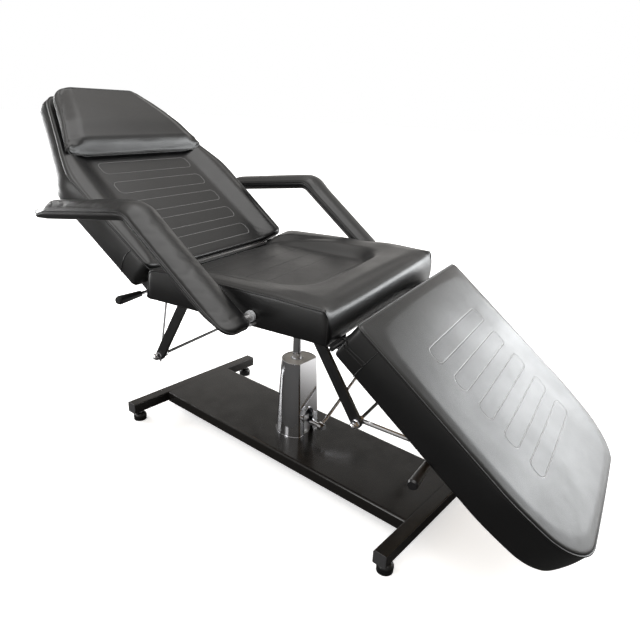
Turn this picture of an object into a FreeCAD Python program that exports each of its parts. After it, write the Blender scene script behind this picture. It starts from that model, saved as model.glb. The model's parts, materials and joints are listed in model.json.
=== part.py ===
import FreeCAD, Part
import math
import os

os.makedirs("parts", exist_ok=True)
Vec = FreeCAD.Vector

# Clearances shared by all pieces, in millimetres
fixed_fit_clearance = 0.05
running_clearance = 0.05
cushion_clearance = 0.3
lost_motion_clearance = 0.4
cut_margin = 5.0

# Column and how the base lies under the seat
column_x = -9.0
base_turn_angle = -9.66
cover_ahead_of_column = 9.0
base_ahead_of_column = 10.0

# Foot tubes, deck and feet
base_underside_height = 31.0
foot_tube_spacing = 921.0
foot_tube_width = 33.0
foot_tube_height = 32.0
foot_tube_length = 499.6
foot_tube_wall = 2.0
foot_tube_corner_radius = 3.0
end_cap_thickness = 2.0
end_cap_plug_length = 10.0
deck_width = 251.4
deck_sheet_thickness = 3.0
deck_fold_radius = 7.0
foot_radius = 19.0
foot_top_radius = 9.0
foot_rim_height = 8.0
foot_height = 24.0
foot_inset_from_tube_end = 28.0
foot_dome_radius_share = 0.75
foot_dome_height_share = 0.75
foot_stud_radius = 5.0
foot_stud_depth_in_foot = 12.0
foot_stud_reach_above_base = 21.0
lock_nut_across_flats = 17.0
lock_nut_thickness = 6.0

# Pump under its tapered cover
flange_radius = 46.0
flange_thickness = 6.0
flange_bolt_circle_radius = 37.0
flange_bolt_radius = 4.0
flange_bolt_across_flats = 13.0
flange_bolt_head_height = 5.3
flange_bolt_depth = 11.0
cylinder_radius = 24.0
cylinder_bore_radius = 16.0
cylinder_head_wall = 4.0
cylinder_neck_radius = 15.5
cylinder_neck_length = 9.5
cover_rise_above_neck = 1.3
cover_bottom_radius = 60.0
cover_top_radius = 49.0
cover_bottom_facet = 45.0
cover_top_facet = 33.0
cover_corner_radius = 8.0
cover_wall = 1.6
cover_opening_width = 44.0
cover_opening_rise = 84.0
cover_trim_thickness = 2.4
cover_trim_proud = 1.6
cover_trim_clearance = 0.1
cover_cap_thickness = 3.0
cover_cap_inset = 2.0
cover_cap_clearance = 0.2
cover_cap_hole_radius = 17.0
cover_band_height = 4.5
cover_band_thickness = 1.2

# Pedal
pedal_shaft_rise = 43.0
pedal_shaft_radius = 6.0
pedal_shaft_start_x = 25.5
pedal_block_start_x = 30.0
pedal_block_length = 13.0
pedal_block_width = 24.0
pedal_block_height_above_shaft = 13.0
pedal_collar_x = 62.0
pedal_collar_radius = 9.0
pedal_collar_length = 8.0
pedal_lever_x = 97.0
pedal_lever_radius = 4.8
pedal_lever_hub_radius = 11.0
pedal_lever_hub_length = 11.0
pedal_head_across_flats = 17.0
pedal_head_length = 7.0
pedal_lever_rise_angle = 31.8
pedal_lever_length = 272.0
pedal_pad_radius = 11.0
pedal_pad_length = 78.0
pedal_pad_end_radius = 8.0
pedal_pad_end_wall = 4.0

# Piston rod and swivel
lift_down_travel = 60.0
lift_up_travel = 120.0
piston_bottom_clearance = 2.0
piston_top_clearance = 5.0
piston_length = 16.0
piston_rod_radius = 12.0
piston_rod_end_gap = 1.0
piston_collar_radius = 18.0
piston_collar_thickness = 8.0
piston_collar_rise_above_neck = 96.4
hub_length = 64.0
hub_radius = 25.0
bush_outer_radius = 14.0
bush_top_inset = 5.0
thrust_gap = 0.1

# Seat frame
rail_spacing = 430.0
rail_width = 25.0
rail_height = 34.0
rail_wall = 2.0
rail_rear_inset = 8.0
top_plate_length = 220.0
top_plate_width = 180.0
top_plate_thickness = 8.0
cross_member_width = 40.0
cross_member_height = 25.0
cross_member_spacing = 160.0
plate_bolt_radius = 5.0
plate_bolt_spacing = 120.0
plate_bolt_across_flats = 16.0
plate_bolt_head_height = 6.0
plate_bolt_length = 20.0

# Struts and cross rods
strut_width = 25.0
strut_thickness = 10.0
strut_inset_from_rail = 1.0
strut_aim_drop = 39.0
rear_strut_inset = 31.0
rear_rod_reach = 57.0
rear_rod_drop = 197.0
front_strut_inset = 57.0
front_rod_reach = 46.0
front_rod_drop = 204.0
cross_rod_radius = 4.0
cross_rod_end_gap = 0.5
acorn_nut_flange_radius = 10.5
acorn_nut_flange_thickness = 2.0
acorn_nut_across_flats = 17.0
acorn_nut_hex_length = 13.0
acorn_nut_dome_radius = 7.2
acorn_nut_bore_length = 15.5

# Seat board and seat cushion
seat_length = 495.0
seat_rear_reach = 255.0
seat_width = 600.0
seat_corner_radius = 34.0
seat_board_thickness = 12.0
seat_board_rear_inset = 15.0
seat_board_front_inset = 15.0
seat_board_side_inset = 20.0
seat_cushion_heights = [0.0, 12.0, 50.0, 61.0, 70.0, 75.0, 77.5]
seat_cushion_insets = [6.0, 0.0, 0.0, 3.0, 11.0, 24.0, 42.0]
seat_least_corner_radius = 8.0
seat_pan_top_half_width = 226.0
seat_pan_floor_half_width = 196.0
seat_pan_top_front_inset = 82.0
seat_pan_floor_front_inset = 122.0
seat_pan_floor_rise = 54.0
seat_pan_top_corner_radius = 70.0
seat_pan_floor_corner_radius = 45.0
seat_groove_count = 5
seat_groove_first_inset = 65.0
seat_groove_spacing = 62.0
seat_groove_half_length = 150.0
seat_groove_width = 4.0
seat_groove_depth = 2.5

# Hinge rods, ears and plates
hinge_rod_radius = 5.25
backrest_hinge_gap = 12.0
backrest_hinge_rise = 43.0
backrest_hinge_rod_proud = 8.0
backrest_eye_radius = 10.5
backrest_ear_width = 20.0
backrest_ear_foot_length = 52.0
backrest_ear_foot_drop = 25.0
backrest_ear_foot_height = 22.0
legrest_hinge_gap = 12.0
legrest_hinge_drop = 7.0
legrest_hinge_rod_proud = 48.0
legrest_eye_radius = 7.5
legrest_ear_length = 60.0
legrest_ear_depth = 24.0
legrest_ear_rise = 4.0
hinge_plate_thickness = 6.0
hinge_plate_gap = 2.5
backrest_plate_reach = 170.0
backrest_plate_depth = 20.0
legrest_strap_reach = 190.0
legrest_strap_depth = 15.0

# Backrest section, worked out lying flat and then tilted up
backrest_tilt_angle = 38.0
backrest_lowest_angle = 0.0
backrest_highest_angle = 68.0
backrest_end_gap = 12.4
backrest_front_rise = 34.2
backrest_thickness = 84.0
backrest_length = 604.0
backrest_lower_half_width = 288.0
backrest_shoulder_reach = 310.0
backrest_shoulder_half_width = 297.0
backrest_top_half_width = 156.0
backrest_lower_corner_radius = 25.0
backrest_shoulder_radius = 70.0
backrest_top_corner_radius = 45.0
backrest_cushion_drops = [84.0, 70.0, 26.0, 14.0, 6.0, 1.5, 0.0]
backrest_cushion_insets = [7.0, 0.0, 0.0, 2.0, 7.0, 14.0, 24.0]
backrest_end_insets = [4.0, 0.0, 0.0, 3.0, 10.0, 19.0, 28.0]
backrest_least_corner_radius = 6.0
backrest_panel_depth = 21.0
backrest_panel_end_reach = 398.0
backrest_panel_top_half_width_low = 246.0
backrest_panel_top_half_width_high = 214.0
backrest_panel_floor_half_width_low = 216.0
backrest_panel_floor_half_width_high = 184.0
backrest_slot_count = 5
backrest_slot_first_reach = 62.0
backrest_slot_spacing = 72.0
backrest_slot_length = 40.0
backrest_slot_half_width_low = 196.0
backrest_slot_narrowing = 8.0
backrest_slot_corner_radius = 14.0
groove_width = 4.0
groove_depth = 2.5

# Pillow on the backrest
pillow_start_reach = 389.0
pillow_end_reach = 602.0
pillow_lower_half_width = 252.0
pillow_upper_half_width = 150.0
pillow_lower_corner_radius = 18.0
pillow_upper_corner_radius = 42.0
pillow_heights = [0.0, 8.0, 36.0, 45.0, 50.0]
pillow_insets = [8.0, 0.0, 0.0, 5.0, 18.0]
pillow_least_corner_radius = 6.0

# Leg rest section, worked out lying flat and then lowered
legrest_drop_angle = 38.7
legrest_end_gap = 7.5
legrest_underside_rise = 3.2
legrest_thickness = 93.0
legrest_length = 620.0
legrest_half_width = 297.0
legrest_bend_reach = 455.0
legrest_corner_reach = 594.0
legrest_corner_half_width = 258.0
legrest_tip_half_width = 128.0
legrest_hinge_corner_radius = 22.0
legrest_bend_radius = 120.0
legrest_corner_radius = 70.0
legrest_tip_radius = 60.0
legrest_cushion_drops = [93.0, 79.0, 22.0, 10.0, 2.0, 0.0]
legrest_cushion_insets = [7.0, 0.0, 0.0, 3.0, 12.0, 24.0]
legrest_least_corner_radius = 6.0
legrest_slot_count = 5
legrest_slot_first_reach = 125.0
legrest_slot_spacing = 74.5
legrest_slot_length = 42.0
legrest_slot_half_width = 170.0
legrest_slot_corner_radius = 16.0

# Boards under the backrest and leg rest cushions
board_thickness = 12.0
board_inset = 14.0

# Lock rod of the backrest, sliding through a guide on the rear cross rod
lock_plane_inset = 9.0
lock_lug_gap = 0.5
lock_path_samples = 34
rear_pin_offset_x = 4.0
rear_pin_offset_z = -31.0
rear_pin_radius = 3.0
rear_pin_head_radius = 5.0
rear_pin_head_thickness = 2.0
rear_lock_ratio = -0.135
rear_lock_rod_radius = 3.0
rear_lock_eye_radius = 7.0
rear_lock_eye_thickness = 7.0
rear_lock_side_offset = 10.5
rear_lock_tail_length = 30.0
rear_guide_thickness = 12.0
rear_guide_boss_radius = 8.5
rear_guide_length = 20.0
rear_guide_wall = 4.0
rear_lug_foot_reach = 120.0
rear_lug_half_width = 11.0
rear_lug_bottom = 89.0
rear_lug_tail_left = 26.0
rear_lug_tail_right = 2.0
rear_lug_slope_start = 60.0

# Telescopic lock strut of the leg rest
front_pin_offset_x = 298.6
front_pin_offset_z = -27.3
front_pin_radius = 4.0
front_pivot_ratio = 0.9677
front_slide_ratio = 196.41
front_sleeve_radius = 5.2
front_sleeve_length = 160.0
front_sleeve_eye_radius = 8.2
front_sleeve_eye_thickness = 12.0
front_inner_rod_radius = 3.2
front_inner_rod_length = 168.0
front_head_size = 16.0
front_head_thickness = 13.0
front_ear_spacing = 22.0
front_ear_half_length = 23.0
front_ear_margin = 7.0

# Release levers with tapered grips
release_bracket_gap = 10.0
release_bracket_wall = 3.0
release_bracket_length = 16.0
release_bracket_height = 15.0
release_pin_radius = 2.5
release_pin_inset = 8.0
release_eye_clearance = 0.1
release_lever_radius = 4.5
release_grip_reach = 131.0
release_grip_end_wall = 3.0
release_grip_outer_radius = 11.5
release_grip_inner_radius = 8.0
release_grip_end_radius = 9.0
release_grip_nose_length = 5.0
rear_release_offset_x = -11.1
rear_release_offset_z = -79.0
rear_release_grip_length = 73.0
front_release_offset_x = 303.9
front_release_offset_z = -37.1
front_release_grip_length = 95.0

# Armrests, profile given along the upper surface
armrest_width = 87.0
armrest_pivot_inset = 180.0
armrest_pivot_rise = 27.0
armrest_low_ahead = 13.0
armrest_low_drop = 3.0
armrest_knee_back = 255.0
armrest_knee_rise = 211.0
armrest_tip_back = 616.0
armrest_tip_rise = 168.5
armrest_outer_tip_shortening = 52.0
armrest_thickness = 25.0
armrest_low_radius = 11.0
armrest_knee_radius = 55.0
armrest_bend_radius = 14.0
armrest_tip_radius = 11.0
armrest_section_offsets = [0.0, 8.0, 77.0, 87.0]
armrest_section_insets = [3.0, 0.0, 0.0, 6.0]
armrest_least_radius = 3.0
armrest_axle_radius = 5.0
armrest_collar_inset = 0.2
armrest_collar_radius = 7.0
armrest_collar_length = 2.8
armrest_bar_depth_in_pad = 4.0
armrest_bar_thickness = 6.0
armrest_bar_height = 10.0
armrest_bar_upper_length = 250.0
armrest_bar_hub_radius = 6.0
armrest_lug_offset = 1.0
armrest_lug_thickness = 4.0
armrest_lug_width = 8.0
armrest_lug_length = 21.0
armrest_lug_hub_radius = 9.0
armrest_plate_thickness = 5.0
armrest_plate_length = 50.0
armrest_plate_height = 53.0
armrest_bearing_radius = 8.0
armrest_bearing_proud = 12.0
armrest_stop_radius = 3.0
armrest_stop_rise = 10.0
armrest_disc_radius = 12.5
armrest_disc_offset_from_seat = 4.0
armrest_disc_thickness = 7.0
armrest_disc_bore_clearance = 0.1

# Heights up the column, each from the piece below it
base_top_height = base_underside_height + foot_tube_height
flange_top = base_top_height + flange_thickness
foot_stud_start_height = foot_height - foot_stud_depth_in_foot
foot_stud_end_height = base_underside_height + foot_stud_reach_above_base
piston_bottom_height = flange_top + lift_down_travel + piston_bottom_clearance
cylinder_bore_top_height = piston_bottom_height + piston_length + lift_up_travel + piston_top_clearance
cylinder_top_height = cylinder_bore_top_height + cylinder_head_wall
cylinder_neck_top_height = cylinder_top_height + cylinder_neck_length
cover_top_height = cylinder_neck_top_height + cover_rise_above_neck
cover_opening_top_height = base_top_height + cover_opening_rise
pedal_shaft_height = base_top_height + pedal_shaft_rise
collar_bottom = cylinder_neck_top_height + piston_collar_rise_above_neck
collar_top = collar_bottom + piston_collar_thickness
hub_bottom_height = collar_top + thrust_gap
plate_bottom = hub_bottom_height + hub_length
plate_top = plate_bottom + top_plate_thickness
rail_top_height = plate_top + cross_member_height
bush_top_height = plate_bottom - bush_top_inset
piston_rod_top_height = bush_top_height - piston_rod_end_gap

# Places along the chair, from the two ends of the seat
seat_rear_x = -seat_rear_reach
seat_front_x = seat_length - seat_rear_reach
rail_rear_x = seat_rear_x + rail_rear_inset
rail_front_x = seat_front_x
backrest_hinge_x = seat_rear_x - backrest_hinge_gap
backrest_hinge_z = rail_top_height + backrest_hinge_rise
legrest_hinge_x = seat_front_x + legrest_hinge_gap
legrest_hinge_z = rail_top_height - legrest_hinge_drop
strut_top_z = rail_top_height - strut_aim_drop
rear_strut_top_x = seat_rear_x + rear_strut_inset
front_strut_top_x = seat_front_x - front_strut_inset
rear_rod_x = seat_rear_x - rear_rod_reach
rear_rod_z = rail_top_height - rear_rod_drop
front_rod_x = seat_front_x + front_rod_reach
front_rod_z = rail_top_height - front_rod_drop
armrest_pivot_x = seat_front_x - armrest_pivot_inset
armrest_pivot_z = rail_top_height + armrest_pivot_rise
armrest_low_x = armrest_pivot_x + armrest_low_ahead
armrest_low_z = armrest_pivot_z - armrest_low_drop
armrest_knee_x = armrest_pivot_x - armrest_knee_back
armrest_knee_z = armrest_pivot_z + armrest_knee_rise
armrest_tip_x = armrest_pivot_x - armrest_tip_back
armrest_tip_z = armrest_pivot_z + armrest_tip_rise

# Places across the chair, from the rails and the seat's side
seat_half = seat_width / 2
board_y = seat_half - seat_board_side_inset
strut_offset_from_middle = rail_spacing / 2 - strut_inset_from_rail
strut_inner_y = strut_offset_from_middle - strut_thickness / 2
strut_outer_y = strut_offset_from_middle + strut_thickness / 2
lock_plane_y = lock_plane_inset - strut_inner_y
release_grip_end_y = lock_plane_y - release_grip_reach
release_lever_end_y = release_grip_end_y + release_grip_end_wall
armrest_axle_start_y = board_y - armrest_collar_length - armrest_collar_inset
armrest_bearing_end_y = seat_half + armrest_bearing_proud
armrest_disc_start_y = seat_half + armrest_disc_offset_from_seat
armrest_lug_start_y = armrest_bearing_end_y + armrest_lug_offset
lug_end_y = armrest_lug_start_y + armrest_lug_thickness
armrest_inner_y = lug_end_y + armrest_lug_offset
armrest_outer_y = armrest_inner_y + armrest_width
armrest_bar_start_y = armrest_inner_y + armrest_bar_depth_in_pad

# Plain shapes


def box(x0, x1, y0, y1, z0, z1):
    return Part.makeBox(x1 - x0, y1 - y0, z1 - z0, Vec(x0, y0, z0))


def rod(radius, start, end):
    run = end.sub(start)
    return Part.makeCylinder(radius, run.Length, start, run)


def rod_x(radius, y, z, x0, x1):
    return rod(radius, Vec(x0, y, z), Vec(x1, y, z))


def rod_y(radius, x, z, y0, y1):
    return rod(radius, Vec(x, y0, z), Vec(x, y1, z))


def rod_z(radius, x, y, z0, z1):
    return rod(radius, Vec(x, y, z0), Vec(x, y, z1))


def plate_y(points, y0, y1):
    ring = [Vec(x, y0, z) for x, z in points]
    ring.append(ring[0])
    face = Part.Face(Part.makePolygon(ring))
    return face.extrude(Vec(0, y1 - y0, 0))


def hexagon(across_flats, length, start, direction):
    radius = across_flats / math.sqrt(3)
    ring = []
    for corner in range(7):
        angle = math.radians(60 * corner)
        ring.append(Vec(radius * math.cos(angle), radius * math.sin(angle), 0))
    prism = Part.Face(Part.makePolygon(ring)).extrude(Vec(0, 0, length))
    turn = FreeCAD.Rotation(Vec(0, 0, 1), direction)
    prism.Placement = FreeCAD.Placement(start, turn)
    return prism


def joined(shapes):
    first = shapes[0]
    for shape in shapes[1:]:
        first = first.fuse(shape)
    return first.removeSplitter()


def mirrored(shape):
    return shape.mirror(Vec(0, 0, 0), Vec(0, 1, 0))


def pair(shape):
    return Part.makeCompound([shape, mirrored(shape)])


def moved(shape, x, y, z):
    copy = shape.copy()
    copy.translate(Vec(x, y, z))
    return copy


def turned(shape, centre, axis, angle):
    copy = shape.copy()
    copy.rotate(centre, axis, angle)
    return copy


# Outlines with straight sides and rounded corners, and pads lofted through them


def inset_corners(corners, insets):
    # Each side of the outline moves inward by its own inset
    count = len(corners)
    sides = []
    for index in range(count):
        ax, ay = corners[index]
        bx, by = corners[(index + 1) % count]
        length = math.hypot(bx - ax, by - ay)
        ux, uy = (bx - ax) / length, (by - ay) / length
        shift = insets[index]
        sides.append((ax - uy * shift, ay + ux * shift, ux, uy))
    moved_corners = []
    for index in range(count):
        px, py, ux, uy = sides[index - 1]
        qx, qy, vx, vy = sides[index]
        cross = ux * vy - uy * vx
        along = ((qx - px) * vy - (qy - py) * vx) / cross
        moved_corners.append((px + ux * along, py + uy * along))
    return moved_corners


def rounded_wire(corners, radii, z):
    count = len(corners)
    trims = []
    for index in range(count):
        px, py = corners[index - 1]
        cx, cy = corners[index]
        nx, ny = corners[(index + 1) % count]
        before = Vec(px - cx, py - cy, 0).normalize()
        after = Vec(nx - cx, ny - cy, 0).normalize()
        half = before.getAngle(after) / 2
        run = radii[index] / math.tan(half)
        middle = before.add(after).normalize()
        depth = radii[index] / math.sin(half) - radii[index]
        corner = Vec(cx, cy, z)
        start = corner.add(before.multiply(run))
        end = corner.add(after.multiply(run))
        trims.append((start, corner.add(middle.multiply(depth)), end))
    edges = []
    for index in range(count):
        start, middle, end = trims[index]
        following = trims[(index + 1) % count][0]
        edges.append(Part.Arc(start, middle, end).toShape())
        edges.append(Part.makeLine(end, following))
    return Part.Wire(edges)


def level_wire(corners, radii, inset, end_inset, least_radius, z):
    # The last side of every outline is its hinge end
    insets = [inset] * (len(corners) - 1) + [end_inset]
    level_radii = [max(radius - inset, least_radius) for radius in radii]
    return rounded_wire(inset_corners(corners, insets), level_radii, z)


def lofted_pad(corners, radii, heights, insets, end_insets, least_radius):
    wires = []
    for height, inset, end_inset in zip(heights, insets, end_insets):
        wires.append(level_wire(corners, radii, inset, end_inset, least_radius, height))
    return Part.makeLoft(wires, True, True)


def outline_prism(corners, radii, z0, z1):
    face = Part.Face(rounded_wire(corners, radii, z0))
    return face.extrude(Vec(0, 0, z1 - z0))


def stadium_groove(s0, s1, half_width, corner_radius, z0, z1):
    outer = [(s0, -half_width), (s1, -half_width), (s1, half_width), (s0, half_width)]
    inner = inset_corners(outer, [groove_width] * 4)
    ring = outline_prism(outer, [corner_radius] * 4, z0, z1)
    core = outline_prism(inner, [corner_radius - groove_width] * 4, z0, z1)
    return ring.cut(core)


# Groups of pieces by the body they move with
nodes = {}
base_nodes = {}
turning_nodes = {}

# Foot tubes and end caps, with the base origin on the column axis
rear_tube_x = base_ahead_of_column - foot_tube_spacing / 2
front_tube_x = base_ahead_of_column + foot_tube_spacing / 2
tube_half_body = foot_tube_length / 2 - end_cap_thickness
foot_y = foot_tube_length / 2 - foot_inset_from_tube_end


def foot_tube(x):
    half = foot_tube_width / 2
    body = box(x - half, x + half, -tube_half_body, tube_half_body,
               base_underside_height, base_top_height)
    long_edges = [edge for edge in body.Edges if abs(edge.tangentAt(0).y) > 0.9]
    body = body.makeFillet(foot_tube_corner_radius, long_edges)
    inner = half - foot_tube_wall
    bore = box(x - inner, x + inner, -tube_half_body - cut_margin, tube_half_body + cut_margin,
               base_underside_height + foot_tube_wall, base_top_height - foot_tube_wall)
    body = body.cut(bore)
    hole_radius = foot_stud_radius + fixed_fit_clearance
    for side in (-1, 1):
        body = body.cut(rod_z(hole_radius, x, side * foot_y, base_underside_height - cut_margin,
                              base_underside_height + foot_tube_wall + cut_margin))
    return body


def end_cap(x, side):
    half = foot_tube_width / 2
    outer_y = foot_tube_length / 2
    cap = box(x - half, x + half, tube_half_body, outer_y,
              base_underside_height, base_top_height)
    corner_edges = [edge for edge in cap.Edges if abs(edge.tangentAt(0).y) > 0.9]
    cap = cap.makeFillet(foot_tube_corner_radius, corner_edges)
    inner = half - foot_tube_wall - fixed_fit_clearance
    step = foot_tube_wall + fixed_fit_clearance
    plug = box(x - inner, x + inner, tube_half_body - end_cap_plug_length, tube_half_body,
               base_underside_height + step, base_top_height - step)
    cap = joined([cap, plug])
    return cap if side > 0 else mirrored(cap)


base_nodes["rear_foot_tube"] = foot_tube(rear_tube_x)
base_nodes["front_foot_tube"] = foot_tube(front_tube_x)
base_nodes["tube_end_caps"] = Part.makeCompound(
    [end_cap(x, side) for x in (rear_tube_x, front_tube_x) for side in (-1, 1)])

# Folded deck between the foot tubes
deck_rear_x = rear_tube_x + foot_tube_width / 2
deck_front_x = front_tube_x - foot_tube_width / 2
deck_half = deck_width / 2
deck = box(deck_rear_x, deck_front_x, -deck_half, deck_half, base_underside_height, base_top_height)
top_edges = [edge for edge in deck.Edges
             if abs(edge.tangentAt(0).x) > 0.9 and edge.CenterOfMass.z > base_top_height - cut_margin]
deck = deck.makeFillet(deck_fold_radius, top_edges)
hollow_half = deck_half - deck_sheet_thickness
hollow_top = base_top_height - deck_sheet_thickness
hollow = box(deck_rear_x - cut_margin, deck_front_x + cut_margin, -hollow_half, hollow_half,
             base_underside_height - cut_margin, hollow_top)
top_edges = [edge for edge in hollow.Edges
             if abs(edge.tangentAt(0).x) > 0.9 and edge.CenterOfMass.z > hollow_top - cut_margin]
hollow = hollow.makeFillet(deck_fold_radius - deck_sheet_thickness, top_edges)
deck = deck.cut(hollow)

# Pump flange on the deck with its four bolts
flange = rod_z(flange_radius, 0, 0, base_top_height, flange_top)
flange_bolts = []
for quarter in range(4):
    angle = math.radians(45 + 90 * quarter)
    bolt_x = flange_bolt_circle_radius * math.cos(angle)
    bolt_y = flange_bolt_circle_radius * math.sin(angle)
    hole = rod_z(flange_bolt_radius + fixed_fit_clearance, bolt_x, bolt_y,
                 hollow_top - cut_margin, flange_top + cut_margin)
    flange = flange.cut(hole)
    deck = deck.cut(hole)
    head = hexagon(flange_bolt_across_flats, flange_bolt_head_height,
                   Vec(bolt_x, bolt_y, flange_top), Vec(0, 0, 1))
    shank = rod_z(flange_bolt_radius, bolt_x, bolt_y, flange_top - flange_bolt_depth, flange_top)
    flange_bolts.append(joined([head, shank]))
base_nodes["deck_plate"] = deck
base_nodes["pump_flange"] = flange
base_nodes["pump_flange_bolts"] = Part.makeCompound(flange_bolts)

# Domed feet, studs and lock nuts
feet, studs, lock_nuts = [], [], []
dome_x = foot_top_radius + (foot_radius - foot_top_radius) * foot_dome_radius_share
dome_z = foot_rim_height + (foot_height - foot_rim_height) * foot_dome_height_share
foot_edges = [
    Part.makeLine(Vec(0, 0, 0), Vec(foot_radius, 0, 0)),
    Part.makeLine(Vec(foot_radius, 0, 0), Vec(foot_radius, 0, foot_rim_height)),
    Part.Arc(Vec(foot_radius, 0, foot_rim_height), Vec(dome_x, 0, dome_z),
             Vec(foot_top_radius, 0, foot_height)).toShape(),
    Part.makeLine(Vec(foot_top_radius, 0, foot_height), Vec(0, 0, foot_height)),
    Part.makeLine(Vec(0, 0, foot_height), Vec(0, 0, 0)),
]
foot_shape = Part.Face(Part.Wire(foot_edges)).revolve(Vec(0, 0, 0), Vec(0, 0, 1), 360)
foot_shape = foot_shape.cut(rod_z(foot_stud_radius + fixed_fit_clearance, 0, 0,
                                  foot_stud_start_height, foot_height + cut_margin))
nut_shape = hexagon(lock_nut_across_flats, lock_nut_thickness,
                    Vec(0, 0, base_underside_height - lock_nut_thickness), Vec(0, 0, 1))
nut_shape = nut_shape.cut(rod_z(foot_stud_radius + fixed_fit_clearance, 0, 0,
                                0, base_top_height))
for x in (rear_tube_x, front_tube_x):
    for side in (-1, 1):
        feet.append(moved(foot_shape, x, side * foot_y, 0))
        lock_nuts.append(moved(nut_shape, x, side * foot_y, 0))
        studs.append(rod_z(foot_stud_radius, x, side * foot_y,
                           foot_stud_start_height, foot_stud_end_height))
base_nodes["levelling_feet"] = Part.makeCompound(feet)
base_nodes["foot_studs"] = Part.makeCompound(studs)
base_nodes["foot_lock_nuts"] = Part.makeCompound(lock_nuts)

# Pump cylinder with its neck round the rod
cylinder = rod_z(cylinder_radius, 0, 0, flange_top, cylinder_top_height)
neck = rod_z(cylinder_neck_radius, 0, 0, cylinder_top_height, cylinder_neck_top_height)
cylinder = joined([cylinder, neck])
cylinder = cylinder.cut(rod_z(cylinder_bore_radius, 0, 0, flange_top - cut_margin,
                              cylinder_bore_top_height))
rod_bore = piston_rod_radius + running_clearance
cylinder = cylinder.cut(rod_z(rod_bore, 0, 0, flange_top, cylinder_neck_top_height + cut_margin))
base_nodes["pump_cylinder"] = cylinder

# Tapered cover with one flat facet and an arched opening


def cover_solid(grow, z0, z1):
    # A cone frustum cut by one tilted plane, with the two upright edges rounded
    height = cover_top_height - base_top_height

    def radius_at(z):
        share = (z - base_top_height) / height
        return cover_bottom_radius + (cover_top_radius - cover_bottom_radius) * share + grow

    def facet_at(z):
        share = (z - base_top_height) / height
        return cover_bottom_facet + (cover_top_facet - cover_bottom_facet) * share + grow

    solid = Part.makeCone(radius_at(z0), radius_at(z1), z1 - z0, Vec(0, 0, z0))
    reach = cover_bottom_radius + cover_wall
    front = [Vec(facet_at(z0), -reach, z0), Vec(facet_at(z1), -reach, z1),
             Vec(reach, -reach, z1), Vec(reach, -reach, z0)]
    front = Part.Face(Part.makePolygon(front + front[:1])).extrude(Vec(0, reach + reach, 0))
    solid = solid.cut(front)
    uprights = [edge for edge in solid.Edges if edge.BoundBox.ZLength > (z1 - z0) / 2]
    return solid.makeFillet(cover_corner_radius + grow, uprights)


def arch(width, top, x0, x1):
    half = width / 2
    post = box(x0, x1, -half, half, base_top_height, top - half)
    return joined([post, rod_x(half, 0, top - half, x0, x1)])


cover = cover_solid(0, base_top_height, cover_top_height)
cover = cover.cut(cover_solid(-cover_wall, base_top_height - cut_margin,
                              cover_top_height + cut_margin))
opening_start_x = cover_top_facet - cover_corner_radius
opening_end_x = cover_bottom_facet + cut_margin
cover = cover.cut(arch(cover_opening_width, cover_opening_top_height,
                       opening_start_x, opening_end_x))
band = cover_solid(cover_band_thickness + cover_trim_clearance, base_top_height,
                   base_top_height + cover_band_height)
band = band.cut(cover_solid(cover_trim_clearance, base_top_height - cut_margin,
                            base_top_height + cover_band_height + cut_margin))
band = band.cut(arch(cover_opening_width, cover_opening_top_height,
                     opening_start_x, opening_end_x + cut_margin))
trim_width = cover_opening_width - 2 * cover_trim_clearance
trim_top = cover_opening_top_height - cover_trim_clearance
trim = arch(trim_width, trim_top, opening_start_x, opening_end_x)
trim = trim.cut(arch(trim_width - 2 * cover_trim_thickness, trim_top - cover_trim_thickness,
                     opening_start_x - cut_margin, opening_end_x + cut_margin))
trim = trim.common(cover_solid(cover_trim_proud, base_top_height, cover_top_height))
trim = trim.cut(cover_solid(-cover_wall, base_top_height - cut_margin, cover_top_height))
cap_top = cover_top_height - cover_cap_inset
cap = cover_solid(-cover_wall - cover_cap_clearance, cap_top - cover_cap_thickness, cap_top)
cap = moved(cap, cover_ahead_of_column, 0, 0)
cap = cap.cut(rod_z(cover_cap_hole_radius, 0, 0, cylinder_top_height, cover_top_height))
base_nodes["pump_cover"] = moved(cover, cover_ahead_of_column, 0, 0)
base_nodes["cover_base_band"] = moved(band, cover_ahead_of_column, 0, 0)
base_nodes["cover_opening_trim"] = moved(trim, cover_ahead_of_column, 0, 0)
base_nodes["cover_cap"] = cap

# Pedal shaft in its bearing block, lever and rubber pad
block_half = pedal_block_width / 2
block = box(pedal_block_start_x, pedal_block_start_x + pedal_block_length, -block_half, block_half,
            flange_top, pedal_shaft_height + pedal_block_height_above_shaft)
block = block.cut(rod_x(pedal_shaft_radius + running_clearance, 0, pedal_shaft_height,
                        pedal_block_start_x - cut_margin, opening_end_x))
base_nodes["pedal_bearing_block"] = block
hub_half = pedal_lever_hub_length / 2
lever_hub_start = pedal_lever_x - hub_half
lever_hub_end = pedal_lever_x + hub_half
shaft = rod_x(pedal_shaft_radius, 0, pedal_shaft_height, pedal_shaft_start_x, lever_hub_end)
collar = rod_x(pedal_collar_radius, 0, pedal_shaft_height, pedal_collar_x,
               pedal_collar_x + pedal_collar_length)
head = hexagon(pedal_head_across_flats, pedal_head_length,
               Vec(lever_hub_end, 0, pedal_shaft_height), Vec(1, 0, 0))
base_nodes["pedal_shaft"] = joined([shaft, collar, head])
rise = math.radians(pedal_lever_rise_angle)


def along_lever(distance):
    return Vec(pedal_lever_x, distance * math.cos(rise),
               pedal_shaft_height + distance * math.sin(rise))


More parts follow.
